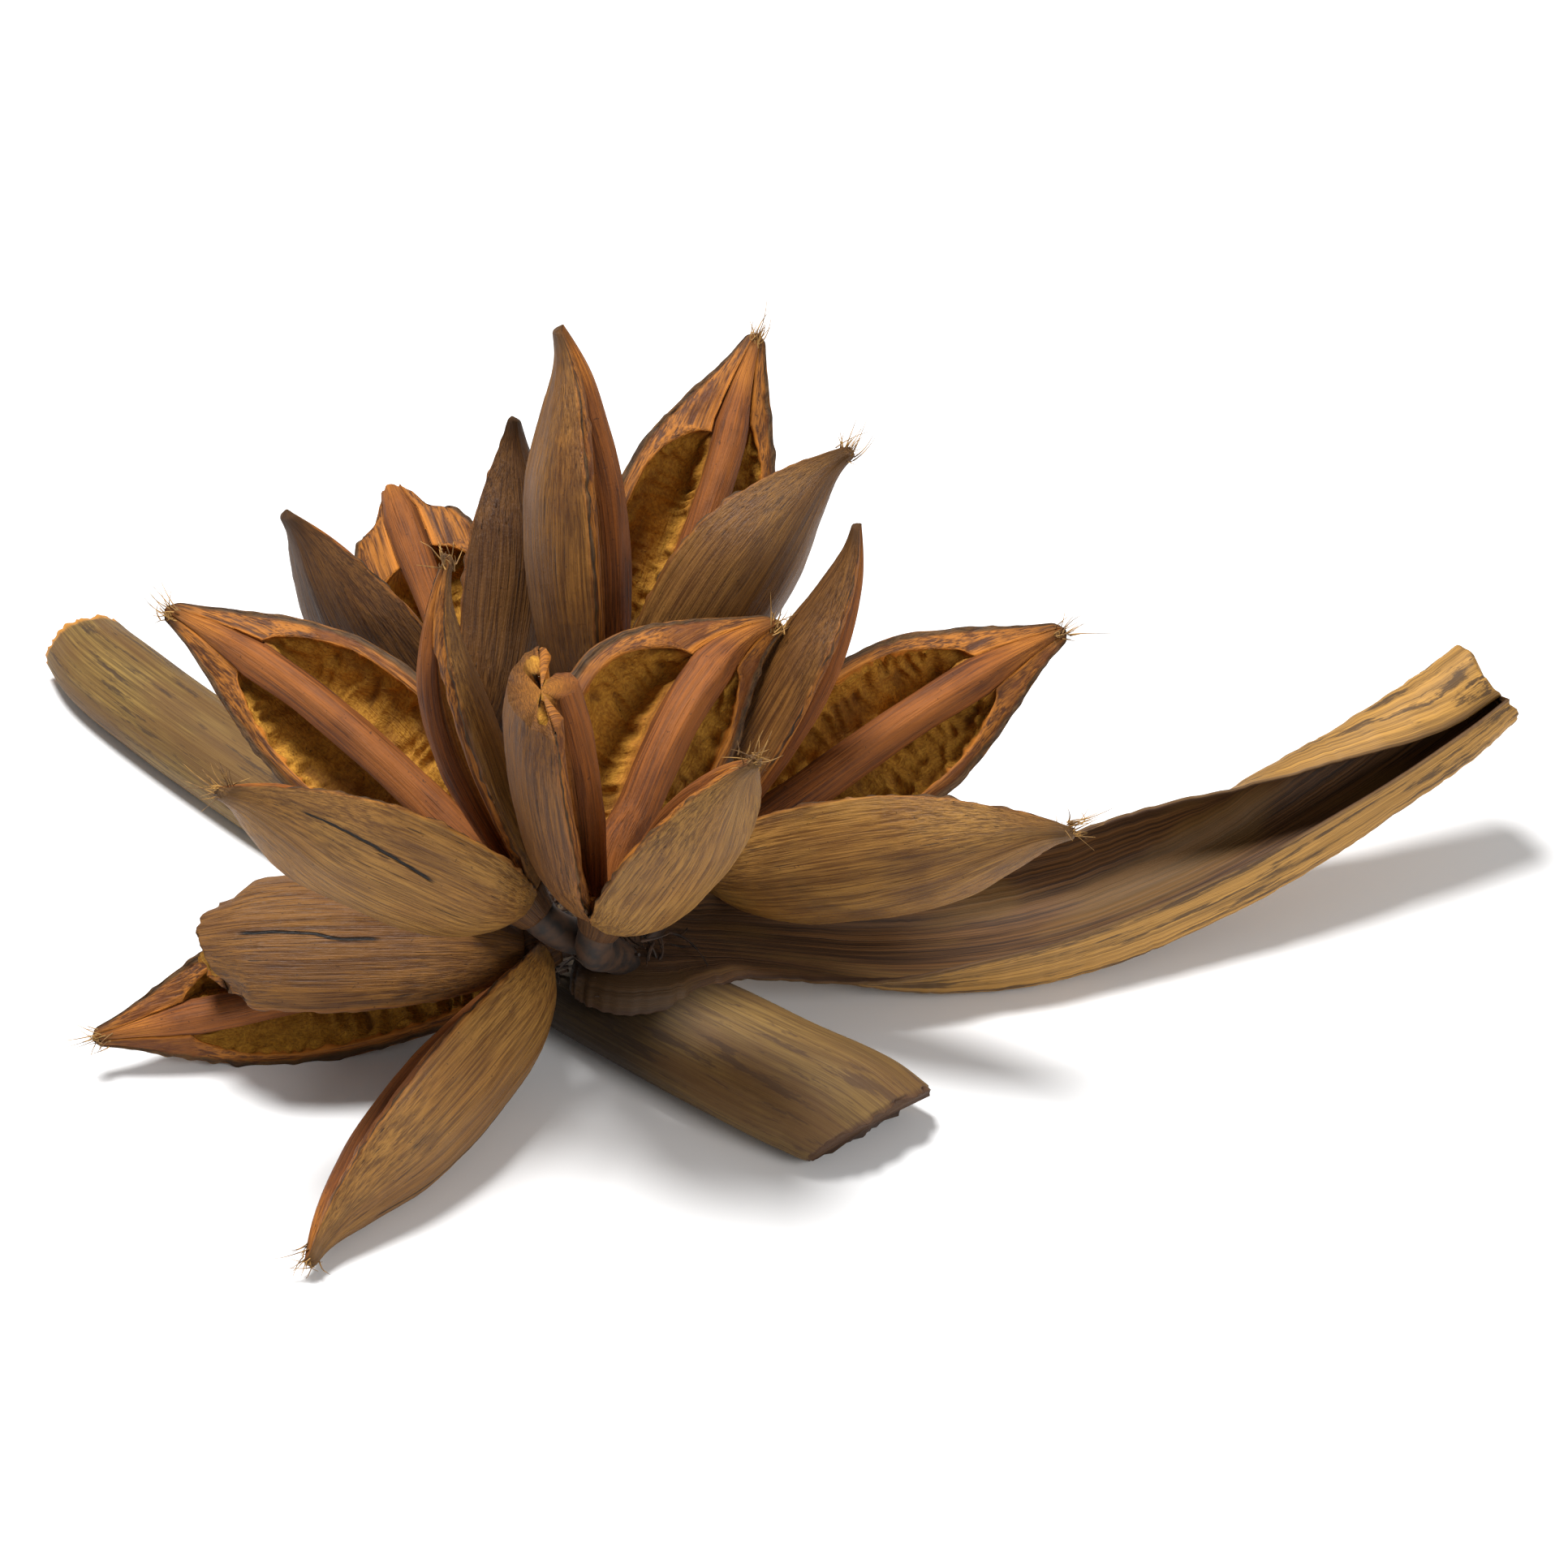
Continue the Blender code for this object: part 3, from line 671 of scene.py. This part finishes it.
def bract_grid():
    shares = np.linspace(0, 1, BRACT_ROWS)
    stations = np.stack(
        [along([(i / (len(BRACT) - 1), row[c]) for i, row in enumerate(BRACT)], shares) for c in range(8)], -1
    )
    rows = np.arange(BRACT_ROWS)[:, None]
    length = shares[:, None] * KEEL_LENGTH
    columns = 2 * BRACT_HALF + 1
    across = (np.arange(columns) - BRACT_HALF)[None, :] / BRACT_HALF
    far_bite = 1.3 * noise(length / 5, 0.0, 0.0, 91) + 0.8 * noise(length / 1.5, 0.0, 0.0, 93)
    near_bite = 2.2 * noise(length / 7, 0.0, 0.0, 95) + 1.4 * noise(length / 1.7, 0.0, 0.0, 97)
    stations[:, 3:4] -= far_bite
    stations[:, 5:6] -= near_bite
    middle = bract_walls(stations)
    down = np.gradient(middle, axis=0)
    over = np.gradient(middle, axis=1)
    normal = np.cross(down, over)
    normal /= np.maximum(np.linalg.norm(normal, axis=2, keepdims=True), 1e-9)
    if normal[BRACT_ROWS // 2, BRACT_HALF, 2] < 0:
        normal = -normal
    u = length + 0 * across
    v = across * HALF_WIDTH + 0 * rows
    ribs = noise(u / 40, v / 1.1, 0.0, 101) - 0.5
    dents = noise(u / 20, v / 8, 0.0, 103) - 0.5
    middle = middle + normal * (0.9 * dents)[..., None]
    half = 0.5 * BRACT_THICKNESS * (1 - 0.55 * np.abs(across) ** 3) + 0 * u
    inside = middle + normal * (half + 0.22 * ribs)[..., None]
    outside = middle - normal * (half + 0.22 * (noise(u / 35, v / 1.4, 0.0, 107) - 0.5))[..., None]
    points = np.concatenate([inside, outside[:, ::-1]], axis=1)
    points[..., 2] = np.maximum(points[..., 2], 0.0)
    bite = 2.0 * noise(v / 4, 0.0, 0.0, 109) + 1.0 * noise(v / 1.1, 0.0, 0.0, 111)
    final = smoothstep(0.975, 1.0, shares)[:, None]
    points -= down_way(middle) * np.concatenate([final * bite, (final * bite)[:, ::-1]], axis=1)[..., None]
    u2 = np.concatenate([u, u[:, ::-1]], axis=1)
    v2 = np.concatenate([v, v[:, ::-1]], axis=1)
    face = np.concatenate([1 + 0 * u, 0 * u], axis=1)
    values = {
        "grain": np.stack([u2, v2, 3 * face], -1),
        "marks": np.stack([face, np.abs(v2) / HALF_WIDTH, np.sign(v2)], -1),
    }
    return points, values


bract = piece_from("bract_grown", grid_mesh("bract_grown", *bract_grid()))
print("bract", len(bract.data.polygons), "faces")


# %% [markdown]
# ## Shader maths in plain Python
# A Wire is one socket. Adding or multiplying wires adds Math nodes, so a finish reads like a
# formula. Every other node comes from one method that takes the node's type, its settings and
# its inputs. Colours go through Mix nodes, because a Math node would turn them grey.

# %% Wires
class Wire:
    """One socket of a node tree, with arithmetic."""

    def __init__(self, tree, socket=None):
        self.tree = tree
        self.socket = socket

    def node(self, kind, settings=None, inputs=None, output=0):
        made = self.tree.nodes.new(kind)
        for name, value in (settings or {}).items():
            setattr(made, name, value)
        for key, value in (inputs or {}).items():
            if isinstance(value, Wire):
                self.tree.links.new(value.socket, made.inputs[key])
            else:
                made.inputs[key].default_value = value
        return Wire(self.tree, made.outputs[output])

    def math(self, operation, *operands):
        return self.node("ShaderNodeMath", {"operation": operation}, dict(enumerate(operands)))

    def __add__(self, other):
        return self.math("ADD", self, other)

    def __sub__(self, other):
        return self.math("SUBTRACT", self, other)

    def __rsub__(self, other):
        return self.math("SUBTRACT", other, self)

    def __mul__(self, other):
        return self.math("MULTIPLY", self, other)

    __radd__ = __add__
    __rmul__ = __mul__

    def between(self, low, high):
        """0 below low, 1 above high, smooth between."""
        return self.node(
            "ShaderNodeMapRange", {"interpolation_type": "SMOOTHSTEP"}, {0: self, 1: low, 2: high}
        )

    def parts(self):
        """The three numbers of a vector."""
        split = self.node("ShaderNodeSeparateXYZ", None, {0: self})
        return [Wire(self.tree, socket) for socket in split.socket.node.outputs]

    def mix(self, a, b):
        """Colour a where this wire is 0, colour b where it is 1."""
        settings = {"data_type": "RGBA"}
        return self.node("ShaderNodeMix", settings, {0: self, 6: a, 7: b}, 2)


def colour(red, green, blue):
    """A colour as a picture gives it, from 0 to 255, turned into light."""
    return (*[((c / 255 + 0.055) / 1.055) ** 2.4 for c in (red, green, blue)], 1.0)


def new_finish(name):
    material = bpy.data.materials.new(name)
    material.use_nodes = True
    return material, Wire(material.node_tree)


def attribute(wire, name):
    return wire.node("ShaderNodeAttribute", {"attribute_name": name}, None, 1)


def stretched(wire, vector, along_, across_, detail=4.0, seed=0.0, rough=0.55):
    """Noise that is stretched along the grain. The scales are in cycles for each millimetre."""
    moved = wire.node(
        "ShaderNodeVectorMath", {"operation": "MULTIPLY_ADD"},
        {0: vector, 1: (along_, across_, across_), 2: (seed, seed, seed)},
    )
    return wire.node(
        "ShaderNodeTexNoise", None, {"Vector": moved, "Scale": 1.0, "Detail": detail, "Roughness": rough}
    )


def set_shader(material, base, roughness, bump_height, bump_strength, bump_distance):
    tree = material.node_tree
    shader = tree.nodes["Principled BSDF"]
    tree.links.new(base.socket, shader.inputs["Base Color"])
    tree.links.new(roughness.socket, shader.inputs["Roughness"])
    bump = base.node(
        "ShaderNodeBump", None,
        {"Strength": bump_strength, "Distance": bump_distance, "Height": bump_height},
    )
    tree.links.new(bump.socket, shader.inputs["Normal"])
    return shader


# %% [markdown]
# ## Dry pod wood
# The wood is warm brown outside with fine long lines, orange and fibrous at the split rims,
# mustard in the chambers and red-brown on the partition. One material paints all of it: the
# zones come from the attributes, and noise that is stretched along the grain gives the lines.
# Some light and shade is painted into these colours as well: a lit tan on the bellies of some valves, a
# lighter ridge on the partitions, darker folds and depths in the chambers, and darker bark on some valves and
# on the feet, partly as shade.

# %% Pod wood
def pod_wood():
    material, start = new_finish("pod_wood_dry")
    grain = attribute(start, "grain")
    outer, rim, lining = attribute(start, "zones").parts()
    septum, tip, depth = attribute(start, "marks").parts()
    purple, sheen, dark = attribute(start, "tone_and_painted_light").parts()
    peel, edge, fold = attribute(start, "lanes").parts()
    offset, beyond, crest_highlight = attribute(start, "crack").parts()
    lines = stretched(start, grain, 0.03, 1.1, 4.0, 3.0)
    fine = stretched(start, grain, 0.06, 3.2, 3.0, 11.0)
    blotch = stretched(start, grain, 0.05, 0.09, 4.0, 19.0)
    patch = stretched(start, grain, 0.04, 0.08, 3.0, 27.0)
    grit = stretched(start, grain, 1.4, 1.4, 3.0, 5.0)
    creases = stretched(start, grain, 0.55, 0.16, 3.0, 33.0)
    streak = (lines * 0.5 + fine * 0.5).between(0.38, 0.62)
    hair_lines = stretched(start, grain, 0.045, 1.5, 2.0, 47.0).between(0.66, 0.72)
    split = (offset.math("ABSOLUTE", offset) + fine * 0.5).between(0.75, 0.45) * beyond.between(1.5, -1.5)

    bark = streak.mix(colour(80, 45, 14), colour(136, 86, 30))
    bark = (blotch.between(0.42, 0.68) * 0.35).mix(bark, colour(92, 50, 14))
    # Painted highlight: valves with a sheen get a lighter, lit copy of the bark over their bellies.
    lit = streak.mix(colour(104, 70, 28), colour(160, 118, 56))
    bark = (sheen * (0.55 + blotch.between(0.62, 0.36) * 0.3)).mix(bark, lit)
    bark = (purple * patch.between(0.5, 0.72) * 0.75).mix(bark, colour(58, 33, 20))
    # Painted shade, in part: valves with a dark value get a darker bark all over where they lie in shade
    # among the others; on some of them the wood is darker too.
    bark = (dark * 0.7).mix(bark, streak.mix(colour(34, 22, 13), colour(62, 42, 24)))
    bark = (hair_lines * 0.7).mix(bark, colour(34, 20, 10))

    band = (lines * 0.5 + fine * 0.5).between(0.40, 0.60).mix(colour(78, 42, 14), colour(168, 104, 36))
    band = (blotch.between(0.48, 0.66) * 0.8).mix(band, colour(100, 54, 20))
    torn = (peel + (fine + lines) * 0.9 - 0.9).between(0.3, 0.7)
    band = torn.mix(band, streak.mix(colour(48, 32, 16), colour(96, 66, 34)))
    pith = (lines * 0.6 + fine * 0.4).between(0.36, 0.62).mix(colour(118, 64, 18), colour(190, 116, 38))

    hollow = grit.between(0.3, 0.7).mix(colour(160, 108, 30), colour(202, 146, 48))
    # Painted shade: the lining is darker in the valleys of its folds and creases.
    hollow = ((fold * 0.6 + creases * 0.6).between(0.55, 0.25) * 0.75).mix(hollow, colour(88, 50, 14))
    hollow = (blotch.between(0.5, 0.7) * 0.6).mix(hollow, colour(110, 64, 20))
    # Painted shade: the lining darkens deeper in the chamber.
    hollow = (depth * 0.25).mix(hollow, colour(90, 54, 18))

    bar = streak.mix(colour(78, 40, 14), colour(136, 76, 26))
    # Painted highlight: the ridge along the top of the partition is lighter, as if lit.
    bar = (crest_highlight * blotch.between(0.35, 0.6) * 0.6).mix(bar, colour(158, 92, 32))
    bar = (tip.between(0.0, 0.5) * 0.7).mix(bar, streak.mix(colour(122, 68, 20), colour(186, 116, 40)))

    base = pith
    base = septum.mix(base, bar)
    base = lining.mix(base, hollow)
    base = rim.mix(base, band)
    base = (edge * (lines + 0.2)).between(0.2, 0.75).mix(base, colour(196, 120, 36))
    base = outer.mix(base, bark)
    base = (tip.between(0.75, 1.0) * fine.between(0.35, 0.6) * 0.7).mix(base, colour(74, 52, 30))
    base = (split * outer).mix(base, colour(18, 10, 5))
    specks = stretched(start, grain, 0.9, 0.9, 2.0, 41.0).between(0.69, 0.73)
    base = (specks * 0.6).mix(base, colour(40, 22, 11))

    roughness = 0.60 + outer * (-0.14) + lining * 0.15 + streak * 0.1
    height = (
        lines * 0.5 + fine * 0.55 + grit * 0.2 + lining * (grit * 0.3 + creases * 1.6)
        - split * 1.2 - hair_lines * 0.4
    )
    shader = set_shader(material, base, roughness, height, 0.8, 0.0007)
    shader.inputs["Specular IOR Level"].default_value = 0.28
    return material


wood = pod_wood()
for piece in pods.values():
    piece.data.materials.clear()
    piece.data.materials.append(wood)
print("pod wood on", len(pods), "pods")

# %% [markdown]
# ## Stalk skin and bract skin
# The stalk is olive-khaki with dark mottled streaks, and its left end is orange with bare fibres.
# Under the pods its colour is darkened as painted shade. The bract is golden outside and brown
# with dark lines inside, and inside, its left end under the pods is darkened as painted shade.

# %% Stalk and bract finishes
def stalk_skin():
    material, start = new_finish("stalk_skin_dry")
    grain = attribute(start, "grain")
    first, final = attribute(start, "marks").parts()[:2]
    u = grain.parts()[0]
    lines = stretched(start, grain, 0.02, 1.1, 5.0, 3.0)
    fine = stretched(start, grain, 0.08, 4.0, 3.0, 9.0)
    mottle = stretched(start, grain, 0.05, 0.35, 5.0, 15.0, 0.7)
    patch = stretched(start, grain, 0.02, 0.06, 3.0, 21.0)
    skin = (lines * 0.6 + fine * 0.4).between(0.38, 0.64).mix(colour(86, 64, 28), colour(142, 112, 54))
    skin = (patch.between(0.42, 0.62) * 0.7).mix(skin, colour(98, 66, 30))
    skin = (mottle.between(0.54, 0.62) * 0.8).mix(skin, colour(62, 44, 28))
    # Painted shade: the stalk is darker along its far part, where the pods and the bract lie over it, and
    # nearly black right under the pods.
    skin = (u.between(150, 300) * 0.45).mix(skin, colour(90, 62, 38))
    skin = (u.between(170, 200) * u.between(255, 225) * 0.85).mix(skin, colour(30, 20, 12))
    skin = first.mix(skin, colour(190, 128, 50))
    skin = (final * 0.8).mix(skin, colour(70, 44, 28))
    shader = set_shader(material, skin, 0.55 + mottle * 0.2, lines + fine * 0.5, 0.5, 0.0005)
    shader.inputs["Specular IOR Level"].default_value = 0.35
    return material


def bract_skin():
    material, start = new_finish("bract_skin_dry")
    grain = attribute(start, "grain")
    face, margin = attribute(start, "marks").parts()[:2]
    u = grain.parts()[0]
    lines = stretched(start, grain, 0.015, 1.2, 5.0, 3.0)
    fine = stretched(start, grain, 0.05, 4.0, 3.0, 9.0)
    mottle = stretched(start, grain, 0.04, 0.4, 5.0, 15.0, 0.7)
    patch = stretched(start, grain, 0.02, 0.05, 3.0, 23.0)
    streak = (lines * 0.6 + fine * 0.4).between(0.38, 0.62)
    gold = streak.mix(colour(120, 86, 38), colour(182, 134, 62))
    gold = (mottle.between(0.52, 0.6) * 0.85).mix(gold, colour(66, 46, 26))
    inner = streak.mix(colour(50, 30, 14), colour(108, 72, 36))
    inner = (patch.between(0.5, 0.62) * 0.5).mix(inner, colour(112, 82, 38))
    # Painted shade: the inside is darker at the left end, which lies under the pods.
    inner = (u.between(75, 20) * 0.7).mix(inner, colour(40, 24, 13))
    skin = face.mix(gold, inner)
    skin = (margin.between(0.93, 1.0) * 0.6).mix(skin, colour(60, 38, 24))
    shader = set_shader(material, skin, 0.55 + mottle * 0.15, lines + fine * 0.5, 0.5, 0.0005)
    shader.inputs["Specular IOR Level"].default_value = 0.35
    return material


def fibre_skin(name, dark, light):
    """Dry fibre: the grain is too fine for its own coordinates, so it reads the object's."""
    material, start = new_finish(name)
    place = start.node("ShaderNodeTexCoord", None, None, 3)
    tint = start.node("ShaderNodeTexNoise", None, {"Vector": place, "Scale": 260.0, "Detail": 4.0})
    set_shader(material, tint.between(0.35, 0.65).mix(dark, light), 0.6 + tint * 0.2, tint, 0.5, 0.0003)
    return material


stalk.data.materials.append(stalk_skin())
bract.data.materials.append(bract_skin())

# %% [markdown]
# ## Pod stalks, rootlets and fibres
# Six short round stalks carry the pods, thin dark rootlets fill the middle, and the beaks end in
# torn fibres. All of these are tubes along lines. The script draws the lines, and one tree of
# Geometry Nodes gives every line its tube, so that a single rule makes the thick and the thin.

# %% Lines
PEDICEL_RISE = 0.45
PEDICEL_LEAN = 0.4
BEAK_INSET = 2.5
ROOTLETS = 150
TUFT_FIBRES = 26
TUFTS = {
    "pod_top": (1, 2), "pod_left": (0, 1, 2), "pod_right": (1, 2), "pod_centre": (0, 2), "pod_low": (0, 2),
}
HUB = np.array((-42.0, -22.0, 24.0))
draw = np.random.default_rng(SEED)


def pod_stalk_line(pod):
    """The line of a pod's own stalk, which leaves the cut stalk upwards and bends to the pod."""
    axis = np.array(pod_axis(pod))
    root = np.array((*pod.root, ROOT_HEIGHT), float)
    end = np.array(pod.foot) - axis * 0.9 * FOOT_DEPTH
    reach = np.linalg.norm(end - root)
    leave, arrive = root + np.array((0, 0, PEDICEL_RISE * reach)), end - axis * PEDICEL_LEAN * reach
    t = np.linspace(0, 1, 18)[:, None]
    return root * (1 - t) ** 3 + leave * 3 * t * (1 - t) ** 2 + arrive * 3 * t**2 * (1 - t) + end * t**3


def loose_line(start, way, length, curl):
    """A thin line that leaves a point in one direction and curls a little."""
    t = np.linspace(0, 1, 7)[:, None]
    bend = draw.normal(size=3) * curl * length
    return start + np.array(way) * length * t + bend * t**2


rootlets = []
for _ in range(ROOTLETS):
    way = draw.normal(size=3) * (1, 1, 0.5)
    start = HUB + draw.uniform(-1, 1, size=3) * (15, 13, 8)
    rootlets.append(loose_line(start, way / np.linalg.norm(way), draw.uniform(4, 11), 0.35))
tufts = []
for name, chosen in TUFTS.items():
    for index in chosen:
        valve = PODS[name].valves[index]
        chord = np.array(polar(valve.heading, valve.rise))
        beak = np.array(PODS[name].foot) + chord * (valve.length - BEAK_INSET)
        for _ in range(TUFT_FIBRES):
            way = chord + draw.normal(size=3) * 0.45
            tufts.append(loose_line(beak + draw.normal(size=3) * 1.1, way, draw.uniform(2, 6), 0.3))
print(len(rootlets), "rootlets and", len(tufts), "fibres")


# %% Tubes by Geometry Nodes
def tube_tree():
    tree = bpy.data.node_groups.new("tubes", "GeometryNodeTree")
    for title, kind in (("Lines", "Geometry"), ("Sides", "Int"), ("Skin", "Material")):
        tree.interface.new_socket(title, in_out="INPUT", socket_type="NodeSocket" + kind)
    tree.interface.new_socket("Tubes", in_out="OUTPUT", socket_type="NodeSocketGeometry")
    made = {}
    for title in ("MeshToCurve", "CurveToMesh", "CurvePrimitiveCircle", "InputNamedAttribute",
                  "RealizeInstances", "SetMaterial"):
        made[title] = tree.nodes.new("GeometryNode" + title)
    enter, leave = tree.nodes.new("NodeGroupInput"), tree.nodes.new("NodeGroupOutput")
    made["InputNamedAttribute"].data_type = "FLOAT"
    made["InputNamedAttribute"].inputs["Name"].default_value = "thick"
    made["CurvePrimitiveCircle"].inputs["Radius"].default_value = MM
    made["CurveToMesh"].inputs["Fill Caps"].default_value = True
    for out, into in (
        (enter.outputs["Lines"], made["MeshToCurve"].inputs["Mesh"]),
        (enter.outputs["Sides"], made["CurvePrimitiveCircle"].inputs["Resolution"]),
        (enter.outputs["Skin"], made["SetMaterial"].inputs["Material"]),
        (made["MeshToCurve"].outputs["Curve"], made["CurveToMesh"].inputs["Curve"]),
        (made["CurvePrimitiveCircle"].outputs["Curve"], made["CurveToMesh"].inputs["Profile Curve"]),
        (made["InputNamedAttribute"].outputs["Attribute"], made["CurveToMesh"].inputs["Scale"]),
        (made["CurveToMesh"].outputs["Mesh"], made["RealizeInstances"].inputs["Geometry"]),
        (made["RealizeInstances"].outputs["Geometry"], made["SetMaterial"].inputs["Geometry"]),
        (made["SetMaterial"].outputs["Geometry"], leave.inputs["Tubes"]),
    ):
        tree.links.new(out, into)
    return tree


def tubes(name, lines, thick, taper, sides, skin, tree):
    """One plain mesh with a tube along every line. The radius falls from thick by the taper."""
    verts, edges, radii = [], [], []
    low, high = [np.array(corner) / MM + MIDDLE for corner in solids_box]
    for line in lines:
        first = len(verts)
        line = np.clip(line, low + thick, high - thick)
        verts += ((line - MIDDLE) * MM).tolist()
        edges += [(first + i, first + i + 1) for i in range(len(line) - 1)]
        radii += (thick * (1 - taper * np.linspace(0, 1, len(line)))).tolist()
    mesh = bpy.data.meshes.new(name)
    mesh.from_pydata(verts, edges, [])
    mesh.attributes.new("thick", "FLOAT", "POINT").data.foreach_set("value", radii)
    piece = piece_from(name, mesh)
    nodes = piece.modifiers.new("tubes", "NODES")
    nodes.node_group = tree
    values = {"Sides": sides, "Skin": skin}
    for item in tree.interface.items_tree:
        if item.name in values:
            nodes[item.identifier] = values[item.name]
    plain_mesh(piece)
    piece.data.shade_smooth()
    print(name, len(piece.data.polygons), "faces")
    return piece


tree = tube_tree()
root_skin = fibre_skin("root_skin_dry", colour(26, 16, 9), colour(66, 42, 22))
tuft_skin = fibre_skin("tuft_dry", colour(92, 62, 28), colour(176, 132, 66))
pod_stalk_lines = [pod_stalk_line(pod) for pod in PODS.values()]
pod_stalks = tubes("pod_stalks", pod_stalk_lines, PEDICEL_RADIUS, 0.0, 24, root_skin, tree)
grow_together(stalk, [pod_stalks])
rootlet_piece = tubes("rootlets", rootlets, 0.45, 0.7, 5, root_skin, tree)
tuft_piece = tubes("beak_fibres", tufts, 0.22, 0.8, 4, tuft_skin, tree)

# %% [markdown]
# ## Every piece on its solid
# Nothing moves, so all pieces ride on the one body. Each fine piece stands for its plain solid.
# The rootlets and the fibres at the beaks stand for none.

# %% Ride and replace
for name, piece in pods.items():
    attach(piece, "root")
    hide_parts(name)
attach(stalk, "root")
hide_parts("stalk")
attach(bract, "root")
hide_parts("bract")
for piece in (rootlet_piece, tuft_piece):
    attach(piece, "root")

# %% [markdown]
# ## Floor, light and camera
# A plain pale floor, one large soft light nearly overhead, a weaker one from the front right,
# and an even pale sky. The camera looks down at 35 degrees from 1.2 m, through a long lens.

# %% Studio
floor_mesh = bpy.data.meshes.new("floor")
floor_mesh.from_pydata([(-6, -6, 0), (6, -6, 0), (6, 6, 0), (-6, 6, 0)], [], [(0, 1, 2, 3)])
floor = piece_from("floor", floor_mesh)
floor_paint = new_finish("floor_pale")[0]
floor_shader = floor_paint.node_tree.nodes["Principled BSDF"]
floor_shader.inputs["Base Color"].default_value = (0.86, 0.86, 0.86, 1)
floor_shader.inputs["Roughness"].default_value = 0.9
floor.data.materials.append(floor_paint)


def soft_light(name, place, aim, size, power):
    lamp = bpy.data.lights.new(name, "AREA")
    lamp.shape = "DISK"
    lamp.size = size
    lamp.energy = power
    light = bpy.data.objects.new(name, lamp)
    bpy.context.scene.collection.objects.link(light)
    light.location = place
    light.rotation_euler = (Vector(aim) - Vector(place)).to_track_quat("-Z", "Y").to_euler()


soft_light("key", (-0.30, 0.10, 1.4), (0, 0, 0.05), 0.5, 30)
soft_light("fill", (0.9, -1.0, 0.8), (0, 0, 0.05), 0.7, 9)
world = bpy.data.worlds.new("studio")
world.use_nodes = True
sky = world.node_tree.nodes["Background"]
sky.inputs["Color"].default_value = (1, 1, 1, 1)
sky.inputs["Strength"].default_value = 0.32
bpy.context.scene.world = world
bpy.context.scene.view_settings.view_transform = "Standard"

CAMERA_TARGET = Vector((0.0063, -0.0184, 0.060))
CAMERA_RISE = radians(35)
CAMERA_DISTANCE = 1.2
PIXEL = 0.19 * MM  # the size of one pixel of the photograph at the target
PHOTO_WIDTH = 1932
SENSOR = 36.0
camera_data = bpy.data.cameras.new("camera")
camera_data.sensor_width = SENSOR
camera_data.lens = SENSOR * CAMERA_DISTANCE / (PIXEL * PHOTO_WIDTH)
camera_data.clip_start = 0.05
camera = bpy.data.objects.new("camera", camera_data)
bpy.context.scene.collection.objects.link(camera)
camera.location = CAMERA_TARGET + CAMERA_DISTANCE * Vector((0, -cos(CAMERA_RISE), sin(CAMERA_RISE)))
camera.rotation_euler = (CAMERA_TARGET - camera.location).to_track_quat("-Z", "Y").to_euler()
bpy.context.scene.camera = camera
print("lens", round(camera_data.lens, 1), "mm")
